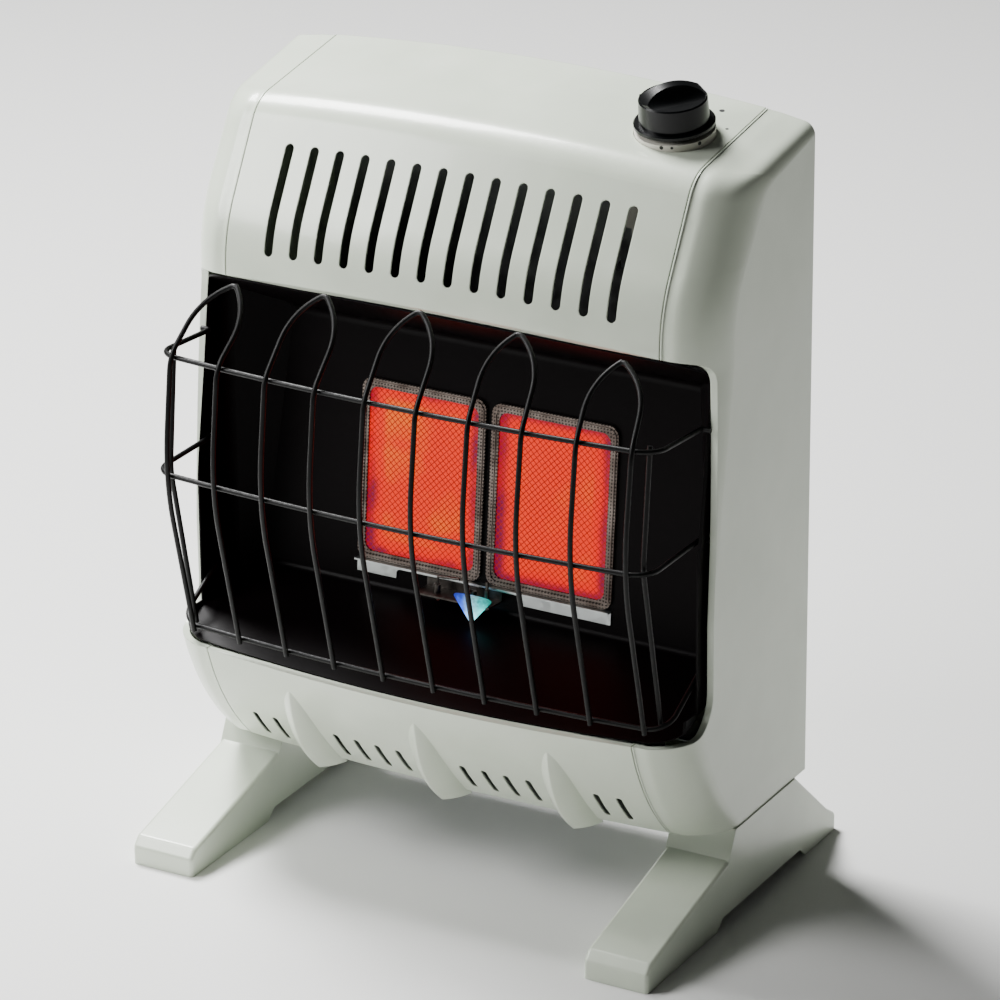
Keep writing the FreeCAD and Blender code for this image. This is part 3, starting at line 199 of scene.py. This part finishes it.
def glowing_ceramic(side, unevenness):
    material, tree, shader, place = start_finish("glowing_cordierite_" + side, "#5A2A1E", 0.85)
    middle = BURNER @ Vector((PLAQUE_MIDDLE[side], 0, PLAQUE_RISE))
    centred = add_node(tree, "ShaderNodeVectorMath", {"operation": "SUBTRACT", 1: middle}, {0: place})
    apart = add_node(tree, "ShaderNodeSeparateXYZ", {}, {"Vector": centred.outputs["Vector"]})
    across = add_node(tree, "ShaderNodeMath", {"operation": "ABSOLUTE"}, {0: apart.outputs["X"]})
    upward = add_node(tree, "ShaderNodeMath", {"operation": "ABSOLUTE"}, {0: apart.outputs["Z"]})
    left = add_node(tree, "ShaderNodeMath", {"operation": "SUBTRACT", 0: PLAQUE_HALF_WIDTH},
                    {1: across.outputs["Value"]})
    above = add_node(tree, "ShaderNodeMath", {"operation": "SUBTRACT", 0: PLAQUE_HALF_HEIGHT},
                     {1: upward.outputs["Value"]})
    rim = add_node(tree, "ShaderNodeMath", {"operation": "SMOOTH_MIN", 2: 6 * MM},
                   {0: left.outputs["Value"], 1: above.outputs["Value"]})
    patches = add_node(tree, "ShaderNodeTexNoise", {"Scale": 1 / (34 * MM), "Detail": 2.0}, {"Vector": place})
    heat = add_node(tree, "ShaderNodeMapRange", {"From Min": COOL_RIM[0], "From Max": COOL_RIM[1], "To Min": 0.0,
                                                 "To Max": 0.62}, {"Value": rim.outputs["Value"]})
    lift = add_node(tree, "ShaderNodeMapRange", {"From Min": 0.42, "From Max": 0.72, "To Min": 0.0,
                                                 "To Max": unevenness}, {"Value": patches.outputs["Fac"]})
    total = add_node(tree, "ShaderNodeMath", {"operation": "ADD"},
                     {0: heat.outputs["Result"], 1: lift.outputs["Result"]})
    colours = add_node(tree, "ShaderNodeValToRGB", {}, {"Fac": total.outputs["Value"]})
    ramp = colours.color_ramp
    ramp.elements[0].color = linear("#700C40")
    ramp.elements[1].color = linear("#FF6A00")
    for position, colour in ((0.14, "#C00428"), (0.34, "#FF0C00"), (0.66, "#FF2A00")):
        stop = ramp.elements.new(position)
        stop.color = linear(colour)
    facing = add_node(tree, "ShaderNodeVectorMath", {"operation": "MULTIPLY", 1: (1, 0, 1)}, {0: place})
    holes = add_node(tree, "ShaderNodeTexVoronoi", {"Scale": 1 / HOLE_PITCH, "Randomness": 0.0},
                     {"Vector": facing.outputs["Vector"]})
    pits = add_node(tree, "ShaderNodeMapRange", {"From Min": 0.25, "From Max": 0.45, "To Min": 0.82,
                                                 "To Max": 1.0}, {"Value": holes.outputs["Distance"]})
    shade = add_node(tree, "ShaderNodeVectorMath", {"operation": "SCALE"},
                     {0: colours.outputs["Color"], "Scale": pits.outputs["Result"]})
    tree.links.new(shade.outputs["Vector"], shader.inputs["Emission Color"])
    shader.inputs["Emission Strength"].default_value = 1.35
    return material


left_glow = glowing_ceramic("left", 0.36)
right_glow = glowing_ceramic("right", 0.14)
print("finishes:", left_glow.name, right_glow.name)

# %% [markdown]
# ## Steels round the burner
# The plaque frames are perforated stainless strip, browned by the heat. Their holes are drawn with a pitch of
# 2.6 mm, a little coarser than the real ones, so that they show. Each hole is a dot of painted shade: the colour
# is darkened to a fifth at its middle, and the bump dents it. The sheet parts that carry the burner are
# zinc-plated: bright, with faint spangle. The mesh is stainless wire that glows with the plaque behind it.

# %% Burner steels
browned, tree, shader, place = start_finish("heat_browned_stainless", "#7A6E66", 0.5, metallic=0.8)
PERFORATION_PITCH = 2.6 * MM
hues = add_node(tree, "ShaderNodeTexNoise", {"Scale": 1 / (14 * MM), "Detail": 3.0}, {"Vector": place})
tint = add_node(tree, "ShaderNodeValToRGB", {}, {"Fac": hues.outputs["Fac"]})
tint.color_ramp.elements[0].position = 0.35
tint.color_ramp.elements[0].color = linear("#63564F")
tint.color_ramp.elements[1].position = 0.65
tint.color_ramp.elements[1].color = linear("#8C8078")
# Painted shade: at each perforation the colour is darkened to a fifth, standing for the dark of the open hole.
facing = add_node(tree, "ShaderNodeVectorMath", {"operation": "MULTIPLY", 1: (1, 0, 1)}, {0: place})
holes = add_node(tree, "ShaderNodeTexVoronoi", {"Scale": 1 / PERFORATION_PITCH, "Randomness": 0.0},
                 {"Vector": facing.outputs["Vector"]})
pits = add_node(tree, "ShaderNodeMapRange", {"From Min": 0.22, "From Max": 0.34, "To Min": 0.2, "To Max": 1.0},
                {"Value": holes.outputs["Distance"]})
shade = add_node(tree, "ShaderNodeVectorMath", {"operation": "SCALE"},
                 {0: tint.outputs["Color"], "Scale": pits.outputs["Result"]})
tree.links.new(shade.outputs["Vector"], shader.inputs["Base Color"])
bump = add_node(tree, "ShaderNodeBump", {"Strength": 0.6, "Distance": 0.3 * MM}, {"Height": pits.outputs["Result"]})
tree.links.new(bump.outputs["Normal"], shader.inputs["Normal"])

mesh_steel, tree, shader, place = start_finish("glowing_stainless_wire", "#4A1810", 0.5, metallic=0.4)
shader.inputs["Emission Color"].default_value = linear("#C81E0E")
shader.inputs["Emission Strength"].default_value = 0.6
warmth = add_node(tree, "ShaderNodeTexNoise", {"Scale": 1 / (30 * MM)}, {"Vector": place})
tint = add_node(tree, "ShaderNodeValToRGB", {}, {"Fac": warmth.outputs["Fac"]})
tint.color_ramp.elements[0].color = linear("#B01408")
tint.color_ramp.elements[1].color = linear("#F03010")
tree.links.new(tint.outputs["Color"], shader.inputs["Emission Color"])

zinc, tree, shader, place = start_finish("zinc_plated_sheet", "#B9BDBC", 0.34, metallic=1.0)
spangle = add_node(tree, "ShaderNodeTexVoronoi", {"Scale": 1 / (6 * MM)}, {"Vector": place})
dull = add_node(tree, "ShaderNodeMapRange", {"To Min": 0.26, "To Max": 0.44}, {"Value": spangle.outputs["Color"]})
tree.links.new(dull.outputs["Result"], shader.inputs["Roughness"])
print("finishes:", browned.name, mesh_steel.name, zinc.name)

# %% [markdown]
# ## Metals inside the casing
# The valve and the regulator are pressure die castings with a slightly pitted skin. Fittings are turned brass,
# tubes are drawn aluminium, and the fasteners are bright zinc. Plenum and shield are aluminised steel with grey
# stains. The pilot parts have gone dark brown in the flame, and the igniter's lead is red silicone rubber.

# %% Inner metals
cast_alloy, tree, shader, place = start_finish("pressure_die_cast_alloy", "#A9AAAC", 0.48, metallic=1.0)
pores = add_node(tree, "ShaderNodeTexNoise", {"Scale": 1 / (0.9 * MM), "Detail": 3.0}, {"Vector": place})
bump = add_node(tree, "ShaderNodeBump", {"Strength": 0.5, "Distance": 0.1 * MM}, {"Height": pores.outputs["Fac"]})
tree.links.new(bump.outputs["Normal"], shader.inputs["Normal"])

brass, tree, shader, place = start_finish("turned_brass", "#C9A460", 0.25, metallic=1.0)
tool_marks = add_node(tree, "ShaderNodeTexNoise", {"Scale": 1 / (0.5 * MM), "Detail": 1.0}, {"Vector": place})
gleam = add_node(tree, "ShaderNodeMapRange", {"To Min": 0.18, "To Max": 0.36}, {"Value": tool_marks.outputs["Fac"]})
tree.links.new(gleam.outputs["Result"], shader.inputs["Roughness"])

tube_metal, tree, shader, place = start_finish("drawn_aluminium_tube", "#B8BABC", 0.3, metallic=1.0)
draw_marks = add_node(tree, "ShaderNodeTexNoise", {"Scale": 1 / (1.5 * MM), "Detail": 2.0}, {"Vector": place})
gleam = add_node(tree, "ShaderNodeMapRange", {"To Min": 0.22, "To Max": 0.4}, {"Value": draw_marks.outputs["Fac"]})
tree.links.new(gleam.outputs["Result"], shader.inputs["Roughness"])

aluminised, tree, shader, place = start_finish("aluminised_pressed_steel", "#8A8B8A", 0.5, metallic=1.0)
stain = add_node(tree, "ShaderNodeTexNoise", {"Scale": 1 / (18 * MM), "Detail": 4.0}, {"Vector": place})
tint = add_node(tree, "ShaderNodeValToRGB", {}, {"Fac": stain.outputs["Fac"]})
tint.color_ramp.elements[0].position = 0.35
tint.color_ramp.elements[0].color = linear("#72706C")
tint.color_ramp.elements[1].position = 0.6
tint.color_ramp.elements[1].color = linear("#929392")
tree.links.new(tint.outputs["Color"], shader.inputs["Base Color"])

bright_zinc, tree, shader, place = start_finish("bright_zinc_fastener", "#C6C9CB", 0.22, metallic=1.0)
scuff = add_node(tree, "ShaderNodeTexNoise", {"Scale": 1 / (0.8 * MM), "Detail": 2.0}, {"Vector": place})
gleam = add_node(tree, "ShaderNodeMapRange", {"To Min": 0.16, "To Max": 0.34}, {"Value": scuff.outputs["Fac"]})
tree.links.new(gleam.outputs["Result"], shader.inputs["Roughness"])

pilot_steel, tree, shader, place = start_finish("heat_darkened_pilot_steel", "#4A4643", 0.42, metallic=1.0)
hues = add_node(tree, "ShaderNodeTexNoise", {"Scale": 1 / (4 * MM), "Detail": 2.0}, {"Vector": place})
tint = add_node(tree, "ShaderNodeValToRGB", {}, {"Fac": hues.outputs["Fac"]})
tint.color_ramp.elements[0].color = linear("#2E2825")
tint.color_ramp.elements[1].color = linear("#6E6A66")
tree.links.new(tint.outputs["Color"], shader.inputs["Base Color"])

silicone, tree, shader, place = start_finish("extruded_red_silicone", "#6E1C18", 0.6)
dust = add_node(tree, "ShaderNodeTexNoise", {"Scale": 1 / (3 * MM)}, {"Vector": place})
matt = add_node(tree, "ShaderNodeMapRange", {"To Min": 0.5, "To Max": 0.75}, {"Value": dust.outputs["Fac"]})
tree.links.new(matt.outputs["Result"], shader.inputs["Roughness"])
print("finishes:", cast_alloy.name, brass.name, tube_metal.name, aluminised.name, bright_zinc.name,
      pilot_steel.name, silicone.name)

# %% [markdown]
# ## Give every part its finish
# The record names a material slot for each part, and this table turns the slot into a finish. Two kinds of part
# go their own way: each plaque has a glow centred on itself, and the pilot's bracket is as dark as its burner.

# %% Assign the finishes
FINISHES = {
    "cream_enamel": cream, "black_enamel": black_glass, "black_wire": wire_black, "knob_plastic": knob_black,
    "dial_plastic": dial_cream, "igniter_plastic": dial_cream, "stainless_mesh": mesh_steel,
    "stainless_sheet": browned, "zinc_sheet": zinc, "aluminised_steel": aluminised, "zinc_fastener": bright_zinc,
    "die_cast_alloy": cast_alloy, "turned_brass": brass, "drawn_tube": tube_metal, "igniter_rubber": silicone,
    "pilot_steel": pilot_steel,
}
slots = {entry["node"]: entry["material_slot"] for entry in frame["record"]["subparts"]}
for name, node in nodes.items():
    if slots[name] == "plaque_ceramic":
        finish = left_glow if name.startswith("left") else right_glow
    elif name == "pilot_bracket":
        finish = pilot_steel
    else:
        finish = FINISHES[slots[name]]
    node.data.materials.clear()
    node.data.materials.append(finish)
print("finishes given to", len(nodes), "parts")

# %% [markdown]
# ## Wire mesh in front of each plaque
# A coarse stainless mesh keeps fingers and lint off the ceramic. It is woven on the slant with a 3.4 mm pitch.
# Every other crossing of a flat grid is pushed forward for the weave, the grid is turned by 45 degrees and trimmed
# to the window, and the wireframe operator turns its edges into wire. A helper then makes any bmesh a finished
# piece, with its material and the body that it rides on.

# %% Mesh screens
MESH_PITCH = 3.4 * MM
MESH_WIRE = 0.65 * MM
MESH_WEAVE = 0.12 * MM
MESH_STANDOFF = 1.35 * MM
MESH_CELLS = 50
MESH_HALF_WIDTH = 45.6 * MM
MESH_HALF_HEIGHT = 65.6 * MM


def finish_piece(bm, name, finish, slot_name, body="heater", smooth=True):
    mesh = bpy.data.meshes.new(name)
    bm.to_mesh(mesh)
    bm.free()
    piece = bpy.data.objects.new(name, mesh)
    bpy.context.scene.collection.objects.link(piece)
    mesh.materials.append(finish)
    for face in mesh.polygons:
        face.use_smooth = smooth
    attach(piece, body)
    return piece


def mesh_screen(side):
    bm = bmesh.new()
    bmesh.ops.create_grid(bm, x_segments=MESH_CELLS, y_segments=MESH_CELLS, size=MESH_CELLS * MESH_PITCH / 2)
    for vert in bm.verts:
        column = round(vert.co.x / MESH_PITCH + MESH_CELLS / 2)
        row = round(vert.co.y / MESH_PITCH + MESH_CELLS / 2)
        vert.co.z = MESH_WEAVE if (column + row) % 2 else -MESH_WEAVE
    bmesh.ops.rotate(bm, verts=bm.verts, matrix=Matrix.Rotation(math.radians(45), 3, "Z"))
    for outward, reach in (((1, 0, 0), MESH_HALF_WIDTH), ((-1, 0, 0), MESH_HALF_WIDTH),
                           ((0, 1, 0), MESH_HALF_HEIGHT), ((0, -1, 0), MESH_HALF_HEIGHT)):
        bmesh.ops.bisect_plane(bm, geom=bm.verts[:] + bm.edges[:] + bm.faces[:], dist=1e-7,
                               plane_co=Vector(outward) * reach, plane_no=outward, clear_outer=True)
    bmesh.ops.wireframe(bm, faces=bm.faces, thickness=MESH_WIRE, use_replace=True, use_boundary=True,
                        use_even_offset=True)
    seat = Matrix.Translation((PLAQUE_MIDDLE[side], MESH_STANDOFF, PLAQUE_RISE))
    stand = seat @ Matrix.Rotation(math.radians(90), 4, "X")
    bmesh.ops.transform(bm, matrix=BURNER @ stand, verts=bm.verts)
    bmesh.ops.recalc_face_normals(bm, faces=bm.faces)
    screen = finish_piece(bm, side + "_woven_screen", mesh_steel, "stainless_mesh", smooth=False)
    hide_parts(side + "_plaque_screen")
    return screen


for side in PLAQUE_MIDDLE:
    screen = mesh_screen(side)
    print(screen.name, "faces:", len(screen.data.polygons))

# %% [markdown]
# ## Cross recesses in the rear screws
# The six screws that hold the back panel have a pressed cross for the screwdriver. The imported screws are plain, so
# their mesh is copied and its doubles are merged, which makes each screw one closed shell. A walk from vertex to
# vertex finds the six shells. Two crossed bars are then cut out of each head by a Boolean modifier, and the cut
# mesh takes the place of the plain screws.

# %% Cross recesses
RECESS_LENGTH = 3.8 * MM
RECESS_WIDTH = 0.8 * MM
RECESS_DEPTH = 1.0 * MM


def screw_islands(bm):
    waiting = dict.fromkeys(bm.verts)
    while waiting:
        first = next(iter(waiting))
        del waiting[first]
        island, frontier = [], [first]
        while frontier:
            vert = frontier.pop()
            island.append(vert)
            for edge in vert.link_edges:
                other = edge.other_vert(vert)
                if other in waiting:
                    del waiting[other]
                    frontier.append(other)
        yield island


screws = bmesh.new()
screws.from_mesh(nodes["casing_screws"].data)
bmesh.ops.remove_doubles(screws, verts=screws.verts, dist=0.001 * MM)
bars = bmesh.new()
for island in screw_islands(screws):
    rear = max(vert.co.y for vert in island)
    middle_x = (max(vert.co.x for vert in island) + min(vert.co.x for vert in island)) / 2
    middle_z = (max(vert.co.z for vert in island) + min(vert.co.z for vert in island)) / 2
    for size in ((RECESS_LENGTH, RECESS_WIDTH), (RECESS_WIDTH, RECESS_LENGTH)):
        bar = bmesh.ops.create_cube(bars, size=1.0)
        shape = Matrix.Diagonal((size[0], 2 * RECESS_DEPTH, size[1], 1))
        bmesh.ops.transform(bars, matrix=Matrix.Translation((middle_x, rear, middle_z)) @ shape, verts=bar["verts"])
screw_slot = slots["casing_screws"]
crossed = finish_piece(screws, "casing_screws_with_recess", FINISHES[screw_slot], screw_slot, smooth=False)
cutter_mesh = bpy.data.meshes.new("recess_cutter")
bars.to_mesh(cutter_mesh)
bars.free()
cutter = bpy.data.objects.new("recess_cutter", cutter_mesh)
bpy.context.scene.collection.objects.link(cutter)
cut = crossed.modifiers.new("recess", "BOOLEAN")
cut.operation = "DIFFERENCE"
cut.object = cutter
cut.use_self = True
plain_faces = len(crossed.data.polygons)
cut_mesh = bpy.data.meshes.new_from_object(crossed.evaluated_get(bpy.context.evaluated_depsgraph_get()))
crossed.modifiers.remove(cut)
crossed.data = cut_mesh
bpy.data.objects.remove(cutter)
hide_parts("casing_screws")
print("screw faces before and after:", plain_faces, len(crossed.data.polygons))

# %% [markdown]
# ## Dots on the dial and on the panel
# The positions of the knob are marked with pad-printed dots: three on the dial's wall and two on the panel beside
# it. Each is a low disc of ink, made as a flat cone with equal ends. Those on the dial are placed in the knob's
# leaning frame. The panel is crowned, so a ray from above finds the height and the slope under each of its dots.

# %% Printed dots
KNOB_FOOT = Vector((134.8 * MM, 35.7 * MM, 565.2 * MM))
PANEL_SLOPE = math.atan(0.1456)
KNOB_FRAME = Matrix.Translation(KNOB_FOOT) @ Matrix.Rotation(PANEL_SLOPE, 4, "X")
DIAL_RADIUS = 28.4 * MM
INK_THICKNESS = 0.12 * MM
ink, tree, shader, place = start_finish("pad_printed_black_ink", "#1C1D1C", 0.5)
speckle = add_node(tree, "ShaderNodeTexNoise", {"Scale": 1 / (0.6 * MM), "Detail": 1.0}, {"Vector": place})
matt = add_node(tree, "ShaderNodeMapRange", {"To Min": 0.4, "To Max": 0.65}, {"Value": speckle.outputs["Fac"]})
tree.links.new(matt.outputs["Result"], shader.inputs["Roughness"])


def ink_dots(name, seats):
    bm = bmesh.new()
    for seat, radius in seats:
        disc = bmesh.ops.create_cone(bm, cap_ends=True, segments=24, radius1=radius * MM, radius2=radius * MM,
                                     depth=INK_THICKNESS)
        bmesh.ops.transform(bm, matrix=seat, verts=disc["verts"])
    return finish_piece(bm, name, ink, "knob_plastic", smooth=False)


def dial_seat(degrees, height):
    turn = Matrix.Rotation(math.radians(degrees), 4, "Z")
    reach = Matrix.Translation((DIAL_RADIUS, 0, height * MM)) @ Matrix.Rotation(math.radians(90), 4, "Y")
    return KNOB_FRAME @ turn @ reach


evaluated_scene = bpy.context.evaluated_depsgraph_get()


def panel_seat(x, y):
    above = Vector((x * MM, y * MM, cad_high[2]))
    hit, spot, normal, face = nodes["top_front_panel"].ray_cast(above, Vector((0, 0, -1)),
                                                              depsgraph=evaluated_scene)
    print("dot seat in mm:", [round(value / MM, 2) for value in spot], "found:", hit)
    return Matrix.Translation(spot) @ normal.to_track_quat("Z", "Y").to_matrix().to_4x4()


ink_dots("dial_dots", [(dial_seat(-82, 2.2), 1.4), (dial_seat(-67, 2.2), 1.0), (dial_seat(-26, 2.0), 1.4)])
ink_dots("panel_dots", [(panel_seat(149.0, 78.5), 2.0), (panel_seat(164.0, 57.0), 1.2)])
print("printed dots:", 5)

# %% [markdown]
# ## Pilot flame
# The pilot burns with a small fan of flame that spreads from its nozzle to the thermocouple on one side and to the
# plaque on the other. A cone that stands on its point, squashed from front to back and rounded at the top, gives
# the fan. Its colour runs from violet-blue on the left through white to cyan, and it is brightest at the nozzle.

# %% Pilot flame
FLAME_FOOT = Vector((2 * MM, -23 * MM, 190 * MM))
FLAME_WIDTH = 34 * MM
FLAME_DEPTH = 8 * MM
FLAME_HEIGHT = 19 * MM
flame_gas, tree, shader, place = start_finish("burning_pilot_gas", "#000000", 0.9)
from_foot = add_node(tree, "ShaderNodeVectorMath", {"operation": "SUBTRACT", 1: FLAME_FOOT}, {0: place})
apart = add_node(tree, "ShaderNodeSeparateXYZ", {}, {"Vector": from_foot.outputs["Vector"]})
across = add_node(tree, "ShaderNodeMapRange", {"From Min": -FLAME_WIDTH / 2, "From Max": FLAME_WIDTH / 2},
                  {"Value": apart.outputs["X"]})
hues = add_node(tree, "ShaderNodeValToRGB", {}, {"Fac": across.outputs["Result"]})
hues.color_ramp.elements[0].color = linear("#2010D0")
hues.color_ramp.elements[1].color = linear("#10A890")
for position, colour in ((0.3, "#4070FF"), (0.5, "#B0ECFF"), (0.72, "#40E0E0")):
    stop = hues.color_ramp.elements.new(position)
    stop.color = linear(colour)
tree.links.new(hues.outputs["Color"], shader.inputs["Emission Color"])
flicker = add_node(tree, "ShaderNodeTexNoise", {"Scale": 1 / (4 * MM), "Detail": 2.0}, {"Vector": place})
fall = add_node(tree, "ShaderNodeMapRange", {"From Min": 0.0, "From Max": FLAME_HEIGHT, "To Min": 6.0, "To Max": 1.4},
                {"Value": apart.outputs["Z"]})
power = add_node(tree, "ShaderNodeMath", {"operation": "MULTIPLY"},
                 {0: fall.outputs["Result"], 1: flicker.outputs["Fac"]})
tree.links.new(power.outputs["Value"], shader.inputs["Emission Strength"])

bm = bmesh.new()
bmesh.ops.create_cone(bm, cap_ends=True, segments=32, radius1=0.04, radius2=0.5, depth=1.0)
top_rim = [edge for edge in bm.edges if all(vert.co.z > 0.4 for vert in edge.verts)]
bmesh.ops.bevel(bm, geom=top_rim, offset=0.14, affect="EDGES", segments=4, profile=0.5, material=-1)
fan = Matrix.Translation(FLAME_FOOT) @ Matrix.Rotation(math.radians(-9), 4, "X") \
    @ Matrix.Diagonal((FLAME_WIDTH, FLAME_DEPTH, FLAME_HEIGHT, 1)) @ Matrix.Translation((0, 0, 0.5))
bmesh.ops.transform(bm, matrix=fan, verts=bm.verts)
finish_piece(bm, "pilot_flame", flame_gas, "pilot_steel")
print("flame in mm:", round(FLAME_WIDTH / MM), "by", round(FLAME_HEIGHT / MM))

# %% [markdown]
# ## Floor, light and camera
# The heater stands on a plain pale floor. One strong lamp, high up behind and to the left, lights the tops and the
# floor. A weaker one stands close to the left front, so its light falls off across the face and the right side
# stays in shade. The world adds just enough light to keep the shadows open. The camera has the angles, the place and
# the long lens that were worked out from the photograph's own lines: a matrix of its three axes turns it.

# %% Floor
FLOOR_WIDTH = 40.0
floor_paint, tree, shader, place = start_finish("matt_pale_floor_paint", "#ECECEA", 0.75)
bm = bmesh.new()
bmesh.ops.create_grid(bm, x_segments=1, y_segments=1, size=FLOOR_WIDTH / 2)
mesh = bpy.data.meshes.new("floor")
bm.to_mesh(mesh)
bm.free()
floor = bpy.data.objects.new("floor", mesh)
bpy.context.scene.collection.objects.link(floor)
mesh.materials.append(floor_paint)
print("floor width in m:", FLOOR_WIDTH)


# %% Lights
def soft_lamp(name, place, aim, size, power):
    lamp = bpy.data.lights.new(name, "AREA")
    lamp.shape = "SQUARE"
    lamp.size = size
    lamp.energy = power
    holder = bpy.data.objects.new(name, lamp)
    holder.location = place
    holder.rotation_euler = (Vector(aim) - Vector(place)).to_track_quat("-Z", "Y").to_euler()
    bpy.context.scene.collection.objects.link(holder)
    return holder


soft_lamp("key_lamp", (-0.85, -0.7, 1.0), (-0.1, 0, 0.4), 0.6, 19)
soft_lamp("top_lamp", (-1.5, 0.6, 2.6), (-0.1, 0, 0.5), 1.0, 230)
world = bpy.data.worlds.new("studio")
world.use_nodes = True
world.node_tree.nodes["Background"].inputs["Color"].default_value = (1, 1, 1, 1)
world.node_tree.nodes["Background"].inputs["Strength"].default_value = 0.04
bpy.context.scene.world = world

# %% Camera
SENSOR_WIDTH = 36
FOCAL_LENGTH = 5.439 * SENSOR_WIDTH
CAMERA_PLACE = (1.7799, -3.2139 + 0.0975, 1.7935)
AZIMUTH, ELEVATION, ROLL = (math.radians(angle) for angle in (29.54, 22.92, -0.45))
backward = Vector((math.sin(AZIMUTH) * math.cos(ELEVATION), -math.cos(AZIMUTH) * math.cos(ELEVATION),
                   math.sin(ELEVATION)))
level = Vector((math.cos(AZIMUTH), math.sin(AZIMUTH), 0))
upright = backward.cross(level)
right = math.cos(ROLL) * level + math.sin(ROLL) * upright
up = math.cos(ROLL) * upright - math.sin(ROLL) * level
lens = bpy.data.cameras.new("camera")
lens.sensor_width = SENSOR_WIDTH
lens.sensor_fit = "HORIZONTAL"
lens.lens = FOCAL_LENGTH
lens.clip_end = 50
camera = bpy.data.objects.new("camera", lens)
turn = Matrix((right, up, backward)).transposed().to_4x4()
camera.matrix_world = Matrix.Translation(CAMERA_PLACE) @ turn
bpy.context.scene.collection.objects.link(camera)
bpy.context.scene.camera = camera
print("lens in mm:", round(lens.lens, 1))
